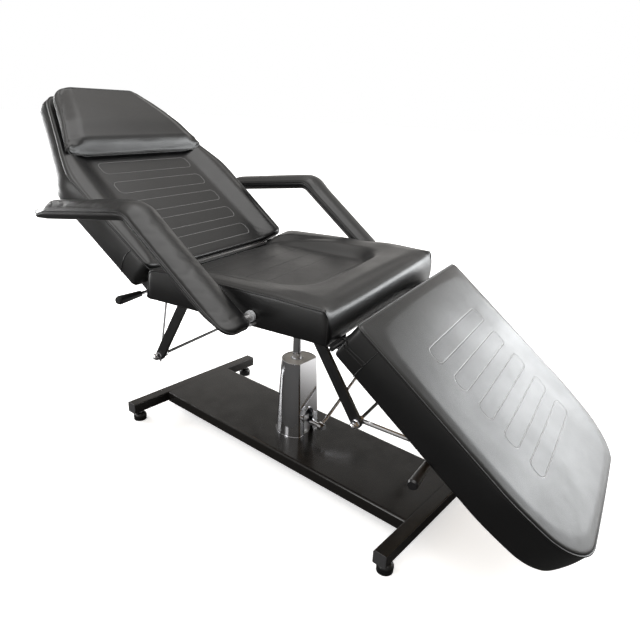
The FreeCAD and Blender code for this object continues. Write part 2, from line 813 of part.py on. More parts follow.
lever = joined([rod_x(pedal_lever_hub_radius, 0, pedal_shaft_height, lever_hub_start, lever_hub_end),
                rod(pedal_lever_radius, along_lever(0), along_lever(pedal_lever_length))])
lever = lever.cut(rod_x(pedal_shaft_radius + fixed_fit_clearance, 0, pedal_shaft_height,
                        lever_hub_start - cut_margin, lever_hub_end + cut_margin))
base_nodes["pedal_lever"] = lever
pad_start = pedal_lever_length - pedal_pad_length
pad_body = rod(pedal_pad_radius, along_lever(pad_start), along_lever(pedal_lever_length))
pad_end = Part.makeCone(pedal_pad_radius, pedal_pad_end_radius, pedal_pad_end_wall,
                        along_lever(pedal_lever_length),
                        along_lever(pedal_lever_length).sub(along_lever(0)))
pad = joined([pad_body, pad_end])
pad = pad.cut(rod(pedal_lever_radius + fixed_fit_clearance, along_lever(0),
                  along_lever(pedal_lever_length + fixed_fit_clearance)))
base_nodes["pedal_pad"] = pad

# Piston rod with its collar, hub and bush of the swivel
piston = rod_z(cylinder_bore_radius - running_clearance, 0, 0, piston_bottom_height,
               piston_bottom_height + piston_length)
piston_body = rod_z(piston_rod_radius, 0, 0, piston_bottom_height, piston_rod_top_height)
piston_collar = rod_z(piston_collar_radius, 0, 0, collar_bottom, collar_top)
base_nodes["piston_rod"] = joined([piston, piston_body, piston_collar])
hub = rod_z(hub_radius, column_x, 0, hub_bottom_height, plate_bottom)
hub = hub.cut(rod_z(bush_outer_radius + fixed_fit_clearance, column_x, 0,
                    hub_bottom_height - cut_margin, plate_bottom + cut_margin))
nodes["swivel_hub"] = hub
bush = rod_z(bush_outer_radius, column_x, 0, hub_bottom_height, bush_top_height)
nodes["swivel_bush"] = bush.cut(rod_z(rod_bore, column_x, 0, hub_bottom_height - cut_margin,
                                      bush_top_height + cut_margin))

# Top plate, cross members and rails
plate_half_length = top_plate_length / 2
plate_half_width = top_plate_width / 2
top_plate = box(column_x - plate_half_length, column_x + plate_half_length,
                -plate_half_width, plate_half_width, plate_bottom, plate_top)
rail_inner_y = rail_spacing / 2 - rail_width / 2
rail_outer_y = rail_spacing / 2 + rail_width / 2
rail_bottom = rail_top_height - rail_height


def cross_member(x):
    half = cross_member_width / 2
    body = box(x - half, x + half, -rail_inner_y, rail_inner_y, plate_top, rail_top_height)
    inner = half - rail_wall
    return body.cut(box(x - inner, x + inner, -rail_inner_y - cut_margin, rail_inner_y + cut_margin,
                        plate_top + rail_wall, rail_top_height - rail_wall))


members = [cross_member(column_x + side * cross_member_spacing / 2) for side in (-1, 1)]
plate_bolts = []
for index, side_x in enumerate((-1, 1)):
    for side_y in (-1, 1):
        bolt_x = column_x + side_x * cross_member_spacing / 2
        bolt_y = side_y * plate_bolt_spacing / 2
        hole = rod_z(plate_bolt_radius + fixed_fit_clearance, bolt_x, bolt_y,
                     plate_bottom - cut_margin, plate_top + rail_wall + cut_margin)
        top_plate = top_plate.cut(hole)
        members[index] = members[index].cut(hole)
        head = hexagon(plate_bolt_across_flats, plate_bolt_head_height,
                       Vec(bolt_x, bolt_y, plate_bottom - plate_bolt_head_height), Vec(0, 0, 1))
        shank = rod_z(plate_bolt_radius, bolt_x, bolt_y, plate_bottom,
                      plate_bottom + plate_bolt_length)
        plate_bolts.append(joined([head, shank]))
nodes["top_plate"] = top_plate
nodes["top_plate_bolts"] = Part.makeCompound(plate_bolts)
nodes["seat_cross_members"] = Part.makeCompound(members)
rail = box(rail_rear_x, rail_front_x, -rail_outer_y, -rail_inner_y, rail_bottom, rail_top_height)
rail = rail.cut(box(rail_rear_x - cut_margin, rail_front_x + cut_margin,
                    -rail_outer_y + rail_wall, -rail_inner_y - rail_wall,
                    rail_bottom + rail_wall, rail_top_height - rail_wall))
nodes["seat_rails"] = pair(rail)

# Slanted struts from the rails down to the cross rods


def strut(top_x, top_z, low_x, low_z):
    length = math.hypot(top_x - low_x, top_z - low_z)
    ux, uz = (top_x - low_x) / length, (top_z - low_z) / length
    half = strut_width / 2
    points = []
    for side in (-1, 1):
        foot_x, foot_z = low_x - side * uz * half, low_z + side * ux * half
        reach = (rail_bottom - foot_z) / uz
        ends = [(foot_x, foot_z), (foot_x + ux * reach, rail_bottom)]
        points += ends if side < 0 else ends[::-1]
    body = plate_y(points, -strut_outer_y, -strut_inner_y)
    body = joined([body, rod_y(half, low_x, low_z, -strut_outer_y, -strut_inner_y)])
    return pair(body.cut(rod_y(cross_rod_radius + fixed_fit_clearance, low_x, low_z,
                               -strut_outer_y - cut_margin, -strut_inner_y + cut_margin)))


nodes["rear_struts"] = strut(rear_strut_top_x, strut_top_z, rear_rod_x, rear_rod_z)
nodes["front_struts"] = strut(front_strut_top_x, strut_top_z, front_rod_x, front_rod_z)
rod_end_y = strut_outer_y + acorn_nut_bore_length - cross_rod_end_gap
nodes["rear_cross_rod"] = rod_y(cross_rod_radius, rear_rod_x, rear_rod_z, -rod_end_y, rod_end_y)
nodes["front_cross_rod"] = rod_y(cross_rod_radius, front_rod_x, front_rod_z, -rod_end_y, rod_end_y)
acorn_nuts = []
for x, z in ((rear_rod_x, rear_rod_z), (front_rod_x, front_rod_z)):
    hex_end = strut_outer_y + acorn_nut_hex_length
    nut = joined([hexagon(acorn_nut_across_flats, acorn_nut_hex_length, Vec(x, strut_outer_y, z),
                          Vec(0, 1, 0)),
                  rod_y(acorn_nut_flange_radius, x, z, strut_outer_y,
                        strut_outer_y + acorn_nut_flange_thickness),
                  Part.makeSphere(acorn_nut_dome_radius, Vec(x, hex_end, z))])
    nut = nut.cut(rod_y(cross_rod_radius + fixed_fit_clearance, x, z, strut_inner_y,
                        strut_outer_y + acorn_nut_bore_length))
    acorn_nuts += [nut, mirrored(nut)]
nodes["acorn_nuts"] = Part.makeCompound(acorn_nuts)

# Ears on the rails and the two hinge rods
ear_outer_y = rail_outer_y + hinge_plate_thickness
ear_half = backrest_ear_width / 2
backrest_ear_foot_bottom = rail_top_height - backrest_ear_foot_drop
backrest_ear_foot_top = backrest_ear_foot_bottom + backrest_ear_foot_height
plate_inner_y = ear_outer_y + hinge_plate_gap
plate_outer_y = plate_inner_y + hinge_plate_thickness
ear_points = [(backrest_hinge_x - ear_half, backrest_hinge_z),
              (backrest_hinge_x - ear_half, backrest_ear_foot_bottom),
              (backrest_hinge_x + backrest_ear_foot_length, backrest_ear_foot_bottom),
              (backrest_hinge_x + backrest_ear_foot_length, backrest_ear_foot_top),
              (backrest_hinge_x + ear_half, backrest_ear_foot_top),
              (backrest_hinge_x + ear_half, backrest_hinge_z)]
rod_hole = hinge_rod_radius + running_clearance
ear = joined([plate_y(ear_points, -ear_outer_y, -rail_outer_y),
              rod_y(backrest_eye_radius, backrest_hinge_x, backrest_hinge_z,
                    -ear_outer_y, -rail_outer_y)])
nodes["backrest_hinge_ears"] = pair(ear.cut(rod_y(rod_hole, backrest_hinge_x, backrest_hinge_z,
                                                  -ear_outer_y - cut_margin, 0)))
half_rod = plate_outer_y + backrest_hinge_rod_proud
nodes["backrest_hinge_rod"] = rod_y(hinge_rod_radius, backrest_hinge_x, backrest_hinge_z,
                                    -half_rod, half_rod)
ear_points = [(legrest_hinge_x, legrest_hinge_z - legrest_eye_radius),
              (legrest_hinge_x, legrest_hinge_z + legrest_ear_rise),
              (legrest_hinge_x - legrest_ear_length, legrest_hinge_z + legrest_ear_rise),
              (legrest_hinge_x - legrest_ear_length, legrest_hinge_z - legrest_ear_depth)]
ear = joined([plate_y(ear_points, -ear_outer_y, -rail_outer_y),
              rod_y(legrest_eye_radius, legrest_hinge_x, legrest_hinge_z,
                    -ear_outer_y, -rail_outer_y)])
nodes["legrest_hinge_ears"] = pair(ear.cut(rod_y(rod_hole, legrest_hinge_x, legrest_hinge_z,
                                                 -ear_outer_y - cut_margin, 0)))
half_rod = plate_outer_y + legrest_hinge_rod_proud
nodes["legrest_hinge_rod"] = rod_y(hinge_rod_radius, legrest_hinge_x, legrest_hinge_z,
                                   -half_rod, half_rod)

# Seat board and the cushion wrapped round it
board_rear_x = seat_rear_x + seat_board_rear_inset
board_front_x = seat_front_x - seat_board_front_inset
board_top = rail_top_height + seat_board_thickness
nodes["seat_board"] = box(board_rear_x, board_front_x, -board_y, board_y,
                          rail_top_height, board_top)
seat_corners = [(seat_rear_x, -seat_half), (seat_front_x, -seat_half),
                (seat_front_x, seat_half), (seat_rear_x, seat_half)]
seat_bottom = rail_top_height + cushion_clearance
seat_levels = [seat_bottom + height for height in seat_cushion_heights]
seat_pad = lofted_pad(seat_corners, [seat_corner_radius] * 4, seat_levels, seat_cushion_insets,
                      seat_cushion_insets, seat_least_corner_radius)
pan_rear_x = seat_rear_x - seat_pan_top_corner_radius * 2
seat_pan_top_front_x = seat_front_x - seat_pan_top_front_inset
seat_pan_floor_front_x = seat_front_x - seat_pan_floor_front_inset
seat_pan_floor_height = rail_top_height + seat_pan_floor_rise
pan_top_corners = [(pan_rear_x, -seat_pan_top_half_width),
                   (seat_pan_top_front_x, -seat_pan_top_half_width),
                   (seat_pan_top_front_x, seat_pan_top_half_width),
                   (pan_rear_x, seat_pan_top_half_width)]
pan_floor_corners = [(pan_rear_x, -seat_pan_floor_half_width),
                     (seat_pan_floor_front_x, -seat_pan_floor_half_width),
                     (seat_pan_floor_front_x, seat_pan_floor_half_width),
                     (pan_rear_x, seat_pan_floor_half_width)]
pan = Part.makeLoft([
    rounded_wire(pan_floor_corners, [seat_pan_floor_corner_radius] * 4, seat_pan_floor_height),
    rounded_wire(pan_top_corners, [seat_pan_top_corner_radius] * 4, seat_levels[-1])], True, True)
seat_pad = seat_pad.cut(pan)
for index in range(seat_groove_count):
    groove_x = seat_rear_x + seat_groove_first_inset + seat_groove_spacing * index
    seat_pad = seat_pad.cut(box(groove_x, groove_x + seat_groove_width,
                                -seat_groove_half_length, seat_groove_half_length,
                                seat_pan_floor_height - seat_groove_depth,
                                seat_pan_floor_height + cut_margin))
seat_pad = seat_pad.cut(box(board_rear_x - cushion_clearance, board_front_x + cushion_clearance,
                            -board_y - cushion_clearance, board_y + cushion_clearance,
                            rail_top_height - cut_margin, board_top + cushion_clearance))

# Armrest mounts on the board edge, with the bearing tube and the stop pin
plate_half = armrest_plate_length / 2
mount_plate_outer = board_y + armrest_plate_thickness
stop_x = armrest_pivot_x + armrest_lug_width / 2 + armrest_stop_radius + running_clearance
armrest_plate_top_height = rail_top_height + armrest_plate_height
armrest_stop_z = rail_top_height + armrest_stop_rise
mount = joined([
    box(armrest_pivot_x - plate_half, armrest_pivot_x + plate_half, board_y, mount_plate_outer,
        rail_top_height, armrest_plate_top_height),
    rod_y(armrest_bearing_radius, armrest_pivot_x, armrest_pivot_z, board_y, armrest_bearing_end_y),
    rod_y(armrest_stop_radius, stop_x, armrest_stop_z, board_y, lug_end_y)])
axle_hole = armrest_axle_radius + running_clearance
mount = mount.cut(rod_y(axle_hole, armrest_pivot_x, armrest_pivot_z, board_y - cut_margin,
                        armrest_bearing_end_y + cut_margin))
nodes["armrest_mount_left"] = mount
nodes["armrest_mount_right"] = mirrored(mount)
disc = rod_y(armrest_disc_radius, armrest_pivot_x, armrest_pivot_z, armrest_disc_start_y,
             armrest_disc_start_y + armrest_disc_thickness)
disc = disc.cut(rod_y(armrest_bearing_radius + armrest_disc_bore_clearance, armrest_pivot_x,
                      armrest_pivot_z, board_y, lug_end_y))
nodes["armrest_discs"] = pair(disc)
pocket = joined([
    box(armrest_pivot_x - plate_half - cushion_clearance, armrest_pivot_x + plate_half + cushion_clearance,
        board_y - cushion_clearance, mount_plate_outer + cushion_clearance,
        rail_top_height - cut_margin, armrest_plate_top_height + cushion_clearance),
    rod_y(armrest_bearing_radius + cushion_clearance, armrest_pivot_x, armrest_pivot_z, board_y,
          armrest_bearing_end_y),
    rod_y(armrest_stop_radius + cushion_clearance, stop_x, armrest_stop_z, board_y, lug_end_y),
    rod_y(armrest_collar_radius + cushion_clearance, armrest_pivot_x, armrest_pivot_z,
          armrest_axle_start_y - cushion_clearance, board_y)])
seat_pad = seat_pad.cut(pocket).cut(mirrored(pocket))
nodes["seat_cushion"] = seat_pad

# Armrests: steel core with its axle, and the padded arm round it


def arm_profile(low_shift, high_shift):
    # Points along the arm at two depths below the upper surface
    low = (armrest_low_x, armrest_low_z)
    knee = (armrest_knee_x, armrest_knee_z)
    tip = (armrest_tip_x, armrest_tip_z)

    def unit(a, b):
        length = math.hypot(b[0] - a[0], b[1] - a[1])
        return ((b[0] - a[0]) / length, (b[1] - a[1]) / length)

    first, second = unit(low, knee), unit(knee, tip)

    def line(depth):
        low_point = (low[0] - first[1] * depth, low[1] + first[0] * depth)
        tip_point = (tip[0] - second[1] * depth, tip[1] + second[0] * depth)
        cross = first[0] * second[1] - first[1] * second[0]
        gap_x, gap_z = tip_point[0] - low_point[0], tip_point[1] - low_point[1]
        run = (gap_x * second[1] - gap_z * second[0]) / cross
        bend = (low_point[0] + first[0] * run, low_point[1] + first[1] * run)
        return low_point, bend, tip_point

    return line(low_shift), line(high_shift), first, second


upper, lower, low_way, high_way = arm_profile(0, armrest_thickness)
arm_corners = [upper[0], upper[1], upper[2], lower[2], lower[1], lower[0]]
arm_radii = [armrest_low_radius, armrest_knee_radius, armrest_tip_radius, armrest_tip_radius,
             armrest_bend_radius, armrest_low_radius]
arm_wires = []
for step, inset in zip(armrest_section_offsets, armrest_section_insets):
    corners = inset_corners(arm_corners, [inset] * 6)
    radii = [max(radius - inset, armrest_least_radius) for radius in arm_radii]
    radii[4] = armrest_bend_radius + inset
    arm_wires.append(rounded_wire(corners, radii, armrest_inner_y + step))
arm_pad = Part.makeLoft(arm_wires, True, True)
arm_pad.rotate(Vec(0, 0, 0), Vec(1, 0, 0), 90)
tip_cut_points = [Vec(armrest_tip_x - cut_margin, -armrest_inner_y, 0),
                  Vec(armrest_tip_x + armrest_outer_tip_shortening, -armrest_outer_y - cut_margin, 0),
                  Vec(armrest_tip_x - armrest_outer_tip_shortening, -armrest_outer_y - cut_margin, 0),
                  Vec(armrest_tip_x - armrest_outer_tip_shortening, -armrest_inner_y, 0)]
tip_cut = Part.Face(Part.makePolygon(tip_cut_points + [tip_cut_points[0]]))
arm_pad = arm_pad.cut(tip_cut.extrude(Vec(0, 0, armrest_knee_z)))
arm_middle = armrest_thickness / 2


def arm_bar(grow):
    half = armrest_bar_height / 2 + grow
    near, far, _, _ = arm_profile(arm_middle - half, arm_middle + half)
    pivot_back = (armrest_pivot_x - armrest_low_x) * low_way[0] + \
        (armrest_pivot_z - armrest_low_z) * low_way[1]

    def on_bar(line):
        start = (line[0][0] + low_way[0] * pivot_back, line[0][1] + low_way[1] * pivot_back)
        reach = armrest_bar_upper_length + grow
        end = (line[1][0] + high_way[0] * reach, line[1][1] + high_way[1] * reach)
        return start, line[1], end

    upper_side, lower_side = on_bar(near), on_bar(far)
    points = [upper_side[0], upper_side[1], upper_side[2],
              lower_side[2], lower_side[1], lower_side[0]]
    start_y = armrest_bar_start_y - grow
    end_y = armrest_bar_start_y + armrest_bar_thickness + grow
    return joined([plate_y(points, -end_y, -start_y),
                   rod_y(armrest_bar_hub_radius + grow, armrest_pivot_x, armrest_pivot_z,
                         -end_y, -start_y)])


lug_half = armrest_lug_width / 2
arm_core = joined([
    arm_bar(0),
    rod_y(armrest_axle_radius, armrest_pivot_x, armrest_pivot_z,
          -armrest_bar_start_y - armrest_bar_thickness, -armrest_axle_start_y),
    rod_y(armrest_collar_radius, armrest_pivot_x, armrest_pivot_z,
          -armrest_axle_start_y - armrest_collar_length, -armrest_axle_start_y),
    rod_y(armrest_lug_hub_radius, armrest_pivot_x, armrest_pivot_z, -lug_end_y,
          -armrest_lug_start_y),
    box(armrest_pivot_x - lug_half, armrest_pivot_x + lug_half, -lug_end_y, -armrest_lug_start_y,
        armrest_pivot_z - armrest_lug_length, armrest_pivot_z)])
arm_pad = arm_pad.cut(arm_bar(cushion_clearance))
arm_pad = arm_pad.cut(rod_y(armrest_axle_radius + cushion_clearance, armrest_pivot_x,
                            armrest_pivot_z, -armrest_bar_start_y, -armrest_inner_y + cut_margin))
nodes["armrest_right_core"] = arm_core
nodes["armrest_right_pad"] = arm_pad
nodes["armrest_left_core"] = mirrored(arm_core)
nodes["armrest_left_pad"] = mirrored(arm_pad)

# Backrest: cushion, board and pillow in a local frame, then tilted about the hinge
backrest_hinge = Vec(backrest_hinge_x, 0, backrest_hinge_z)
backrest_end_x = backrest_hinge_x - backrest_end_gap
backrest_bottom_z = backrest_hinge_z + backrest_front_rise - backrest_thickness


def tilted(shape):
    return turned(shape, backrest_hinge, Vec(0, 1, 0), backrest_tilt_angle)


def backrest_piece(shape):
    half_turned = turned(shape, Vec(0, 0, 0), Vec(0, 0, 1), 180)
    return tilted(moved(half_turned, backrest_end_x, 0, backrest_bottom_z))


back_corners = [(0, -backrest_lower_half_width),
                (backrest_shoulder_reach, -backrest_shoulder_half_width),
                (backrest_length, -backrest_top_half_width),
                (backrest_length, backrest_top_half_width),
                (backrest_shoulder_reach, backrest_shoulder_half_width),
                (0, backrest_lower_half_width)]
back_radii = [backrest_lower_corner_radius, backrest_shoulder_radius, backrest_top_corner_radius,
              backrest_top_corner_radius, backrest_shoulder_radius, backrest_lower_corner_radius]
back_levels = [backrest_thickness - drop for drop in backrest_cushion_drops]
back_levels[0] = cushion_clearance
back_pad = lofted_pad(back_corners, back_radii, back_levels, backrest_cushion_insets,
                      backrest_end_insets, backrest_least_corner_radius)
panel_floor = backrest_thickness - backrest_panel_depth
panel_start = -backrest_panel_depth
floor_low, floor_high = backrest_panel_floor_half_width_low, backrest_panel_floor_half_width_high
top_low, top_high = backrest_panel_top_half_width_low, backrest_panel_top_half_width_high
panel_floor_end = backrest_panel_end_reach - backrest_panel_depth
panel = Part.makeLoft([
    rounded_wire([(panel_start, -floor_low), (panel_floor_end, -floor_high),
                  (panel_floor_end, floor_high), (panel_start, floor_low)],
                 [backrest_least_corner_radius, backrest_slot_corner_radius,
                  backrest_slot_corner_radius, backrest_least_corner_radius], panel_floor),
    rounded_wire([(panel_start, -top_low), (backrest_panel_end_reach, -top_high),
                  (backrest_panel_end_reach, top_high), (panel_start, top_low)],
                 [backrest_least_corner_radius, backrest_slot_corner_radius,
                  backrest_slot_corner_radius, backrest_least_corner_radius],
                 backrest_thickness + cushion_clearance)], True, True)
back_pad = back_pad.cut(panel)
for index in range(backrest_slot_count):
    start = backrest_slot_first_reach - backrest_slot_length / 2 + backrest_slot_spacing * index
    half_width = backrest_slot_half_width_low - backrest_slot_narrowing * index
    back_pad = back_pad.cut(stadium_groove(start, start + backrest_slot_length, half_width,
                                           backrest_slot_corner_radius,
                                           panel_floor - groove_depth, panel_floor + cut_margin))
back_board_corners = inset_corners(back_corners, [board_inset] * 6)
back_board_radii = [max(radius - board_inset, backrest_least_corner_radius) for radius in back_radii]
back_board = outline_prism(back_board_corners, back_board_radii, 0, board_thickness)
pocket_corners = inset_corners(back_corners, [board_inset - cushion_clearance] * 6)
back_pad = back_pad.cut(outline_prism(pocket_corners, back_board_radii, -cut_margin,
                                      board_thickness + cushion_clearance))
pillow_corners = [(pillow_start_reach, -pillow_lower_half_width),
                  (pillow_end_reach, -pillow_upper_half_width),
                  (pillow_end_reach, pillow_upper_half_width),
                  (pillow_start_reach, pillow_lower_half_width)]
pillow_radii = [pillow_lower_corner_radius, pillow_upper_corner_radius,
                pillow_upper_corner_radius, pillow_lower_corner_radius]
pillow_levels = [backrest_thickness + cushion_clearance + height for height in pillow_heights]
pillow = lofted_pad(pillow_corners, pillow_radii, pillow_levels, pillow_insets, pillow_insets,
                    pillow_least_corner_radius)
nodes["backrest_cushion"] = backrest_piece(back_pad)
nodes["backrest_board"] = backrest_piece(back_board)
nodes["headrest_pillow"] = backrest_piece(pillow)

# Backrest hinge plates, outside the ears and under the board
plate_edge = backrest_ear_width / 2
plate_points = [(backrest_hinge_x + plate_edge, backrest_hinge_z),
                (backrest_hinge_x - plate_edge, backrest_hinge_z),
                (backrest_hinge_x - plate_edge, backrest_bottom_z),
                (backrest_hinge_x - backrest_plate_reach, backrest_bottom_z),
                (backrest_hinge_x - backrest_plate_reach, backrest_bottom_z - backrest_plate_depth),
                (backrest_hinge_x + plate_edge, backrest_bottom_z - backrest_plate_depth)]
hinge_plate = joined([plate_y(plate_points, -plate_outer_y, -plate_inner_y),
                      rod_y(backrest_eye_radius, backrest_hinge_x, backrest_hinge_z,
                            -plate_outer_y, -plate_inner_y)])
hinge_plate = hinge_plate.cut(rod_y(rod_hole, backrest_hinge_x, backrest_hinge_z,
                                    -plate_outer_y - cut_margin, 0))
nodes["backrest_hinge_plates"] = tilted(pair(hinge_plate))

# Release bracket, lever and grip, drawn at the origin of the lever pivot


def release_bracket(x, z, start_y):
    gap_half = release_bracket_gap / 2
    high = release_bracket_height / 2
    end_y = start_y - release_bracket_length
    cheeks = []
    for side in (-1, 1):
        near_x = x + side * gap_half
        far_x = x + side * (gap_half + release_bracket_wall)
        cheeks.append(box(min(near_x, far_x), max(near_x, far_x), end_y, start_y, z - high, z + high))
    reach = gap_half + release_bracket_wall
    pin_y = start_y - release_pin_inset
    return cheeks + [rod_x(release_pin_radius, pin_y, z, x - reach, x + reach)]


def release_lever(x, z, start_y):
    half = release_bracket_gap / 2 - release_eye_clearance
    pin_y = start_y - release_pin_inset
    eye = rod_x(half, pin_y, z, x - half, x + half)
    bar = rod_y(release_lever_radius, x, z, release_lever_end_y, pin_y)
    body = joined([eye, bar])
    return body.cut(rod_x(release_pin_radius + running_clearance, pin_y, z,
                          x - half - cut_margin, x + half + cut_margin))


def release_grip(x, z, grip_length):
    nose_y = release_grip_end_y + release_grip_nose_length
    inner_y = release_grip_end_y + grip_length
    taper = Part.makeCone(release_grip_outer_radius, release_grip_inner_radius, inner_y - nose_y,
                          Vec(x, nose_y, z), Vec(0, 1, 0))
    nose = Part.makeCone(release_grip_end_radius, release_grip_outer_radius,
                         release_grip_nose_length, Vec(x, release_grip_end_y, z), Vec(0, 1, 0))
    bore = rod_y(release_lever_radius + fixed_fit_clearance, x, z,
                 release_lever_end_y - fixed_fit_clearance, inner_y + cut_margin)
    return joined([taper, nose]).cut(bore)


# Lock lug of the backrest with the pin of the lock rod
pin_x = backrest_hinge_x + rear_pin_offset_x
pin_z = backrest_hinge_z + rear_pin_offset_z
lug_inner_y = lock_plane_y - rear_lock_eye_thickness / 2 - lock_lug_gap
lug_outer_y = lug_inner_y - hinge_plate_thickness
lug_bottom_z = backrest_hinge_z - rear_lug_bottom
flange_low_z = backrest_bottom_z - backrest_plate_depth
lug_points = [(backrest_hinge_x + rear_lug_half_width, backrest_hinge_z),
              (backrest_hinge_x - plate_edge, backrest_hinge_z),
              (backrest_hinge_x - plate_edge, backrest_bottom_z),
              (backrest_hinge_x - rear_lug_foot_reach, backrest_bottom_z),
              (backrest_hinge_x - rear_lug_foot_reach, flange_low_z),
              (backrest_hinge_x - rear_lug_tail_left, flange_low_z),
              (backrest_hinge_x - rear_lug_tail_left, lug_bottom_z),
              (backrest_hinge_x + rear_lug_tail_right, lug_bottom_z),
              (backrest_hinge_x + rear_lug_half_width, backrest_hinge_z - rear_lug_slope_start)]
pin_start_y = lock_plane_y + rear_lock_eye_thickness / 2 + thrust_gap
lug_body = joined([plate_y(lug_points, lug_outer_y, lug_inner_y),
                   rod_y(backrest_eye_radius, backrest_hinge_x, backrest_hinge_z,
                         lug_outer_y, lug_inner_y)])
lug_body = lug_body.cut(rod_y(rod_hole, backrest_hinge_x, backrest_hinge_z,
                              lug_outer_y - cut_margin, 0))
rear_lever_x = backrest_hinge_x + rear_release_offset_x
rear_lever_z = backrest_hinge_z + rear_release_offset_z
lug_body = joined([lug_body,
                   rod_y(rear_pin_radius, pin_x, pin_z, lug_outer_y, pin_start_y),
                   rod_y(rear_pin_head_radius, pin_x, pin_z, pin_start_y,
                         pin_start_y + rear_pin_head_thickness)]
                  + release_bracket(rear_lever_x, rear_lever_z, lug_outer_y))
nodes["rear_lock_lug"] = tilted(lug_body)
nodes["rear_release_lever"] = tilted(release_lever(rear_lever_x, rear_lever_z, lug_outer_y))
nodes["rear_release_grip"] = tilted(release_grip(rear_lever_x, rear_lever_z,
                                                 rear_release_grip_length))

# Lock rod from the lug pin through the guide on the rear cross rod


def turned_point(x, z, angle):
    radians = math.radians(angle)
    return (x * math.cos(radians) + z * math.sin(radians),
            -x * math.sin(radians) + z * math.cos(radians))


def rear_pin_at(angle):
    dx, dz = turned_point(rear_pin_offset_x, rear_pin_offset_z, angle)
    return backrest_hinge_x + dx, backrest_hinge_z + dz


rest_pin_x, rest_pin_z = rear_pin_at(backrest_tilt_angle)
line_x, line_z = rear_rod_x - rest_pin_x, rear_rod_z - rest_pin_z
line_length = math.hypot(line_x, line_z)
lean = math.asin(rear_lock_side_offset / line_length)
way_x, way_z = turned_point(line_x / line_length, line_z / line_length, math.degrees(lean))
side_x, side_z = -way_z, way_x
guide_reach = line_length * math.cos(lean)
guide_x = rest_pin_x + way_x * guide_reach
guide_z = rest_pin_z + way_z * guide_reach
side_shifts = []
for step in range(lock_path_samples + 1):
    share = step / lock_path_samples
    angle = backrest_lowest_angle + (backrest_highest_angle - backrest_lowest_angle) * share
    x, z = rear_pin_at(angle)
    follow = rear_lock_ratio * (angle - backrest_tilt_angle)
    back_x, back_z = turned_point(x - rear_rod_x, z - rear_rod_z, -follow)
    gap_x, gap_z = back_x + rear_rod_x - rest_pin_x, back_z + rear_rod_z - rest_pin_z
    side_shifts.append(gap_x * side_x + gap_z * side_z)
rod_end = Vec(rest_pin_x + way_x * (guide_reach + rear_lock_tail_length), lock_plane_y,
              rest_pin_z + way_z * (guide_reach + rear_lock_tail_length))
eye_half = rear_lock_eye_thickness / 2
lock_rod = joined([
    rod_y(rear_lock_eye_radius, rest_pin_x, rest_pin_z, lock_plane_y - eye_half,
          lock_plane_y + eye_half),
    rod(rear_lock_rod_radius, Vec(rest_pin_x, lock_plane_y, rest_pin_z), rod_end)])
nodes["rear_lock_rod"] = lock_rod.cut(rod_y(rear_pin_radius + running_clearance, rest_pin_x,
                                            rest_pin_z, lock_plane_y - cut_margin,
                                            lock_plane_y + cut_margin))


def along_guide(shape):
    # A shape drawn upright at the origin is laid along the lock rod at the guide
    angle = math.degrees(math.atan2(-way_x, -way_z))
    laid = turned(shape, Vec(0, 0, 0), Vec(0, 1, 0), angle)
    return moved(laid, guide_x, lock_plane_y, guide_z)


slot_reach = rear_lock_rod_radius + lost_motion_clearance
slot_low = min(side_shifts) - slot_reach
slot_high = max(side_shifts) + slot_reach
sense = 1 if side_x > 0 else -1
slot_start, slot_end = sorted((sense * slot_low, sense * slot_high))
guide_half = rear_guide_thickness / 2
guide_high = rear_guide_length / 2
guide_block = along_guide(box(slot_start - rear_guide_wall, slot_end + rear_guide_wall,
                              -guide_half, guide_half, -guide_high, guide_high))
guide_block = joined([guide_block, rod_y(rear_guide_boss_radius, rear_rod_x, rear_rod_z,
                                         lock_plane_y - guide_half, lock_plane_y + guide_half)])
guide_block = guide_block.cut(along_guide(box(slot_start, slot_end, -slot_reach, slot_reach,
                                              -guide_high - cut_margin, guide_high + cut_margin)))
nodes["rear_lock_guide"] = guide_block.cut(
    rod_y(cross_rod_radius + running_clearance, rear_rod_x, rear_rod_z,
          lock_plane_y - guide_half - cut_margin, lock_plane_y + guide_half + cut_margin))

# Leg rest: cushion and board in a local frame, then lowered about the hinge
legrest_hinge = Vec(legrest_hinge_x, 0, legrest_hinge_z)
legrest_end_x = legrest_hinge_x + legrest_end_gap
legrest_bottom_z = legrest_hinge_z + legrest_underside_rise


def lowered(shape):
    return turned(shape, legrest_hinge, Vec(0, 1, 0), legrest_drop_angle)


def legrest_piece(shape):
    return lowered(moved(shape, legrest_end_x, 0, legrest_bottom_z))


leg_corners = [(0, -legrest_half_width),
               (legrest_bend_reach, -legrest_half_width),
               (legrest_corner_reach, -legrest_corner_half_width),
               (legrest_length, -legrest_tip_half_width),
               (legrest_length, legrest_tip_half_width),
               (legrest_corner_reach, legrest_corner_half_width),
               (legrest_bend_reach, legrest_half_width),
               (0, legrest_half_width)]
leg_radii = [legrest_hinge_corner_radius, legrest_bend_radius, legrest_corner_radius,
             legrest_tip_radius, legrest_tip_radius, legrest_corner_radius,
             legrest_bend_radius, legrest_hinge_corner_radius]
leg_levels = [legrest_thickness - drop for drop in legrest_cushion_drops]
leg_levels[0] = cushion_clearance
leg_pad = lofted_pad(leg_corners, leg_radii, leg_levels, legrest_cushion_insets,
                     legrest_cushion_insets, legrest_least_corner_radius)
for index in range(legrest_slot_count):
    start = legrest_slot_first_reach + legrest_slot_spacing * index
    leg_pad = leg_pad.cut(stadium_groove(start, start + legrest_slot_length,
                                         legrest_slot_half_width, legrest_slot_corner_radius,
                                         legrest_thickness - groove_depth,
                                         legrest_thickness + cut_margin))
leg_board_corners = inset_corners(leg_corners, [board_inset] * 8)
leg_board_radii = [max(radius - board_inset, legrest_least_corner_radius) for radius in leg_radii]
leg_board = outline_prism(leg_board_corners, leg_board_radii, 0, board_thickness)
pocket_corners = inset_corners(leg_corners, [board_inset - cushion_clearance] * 8)
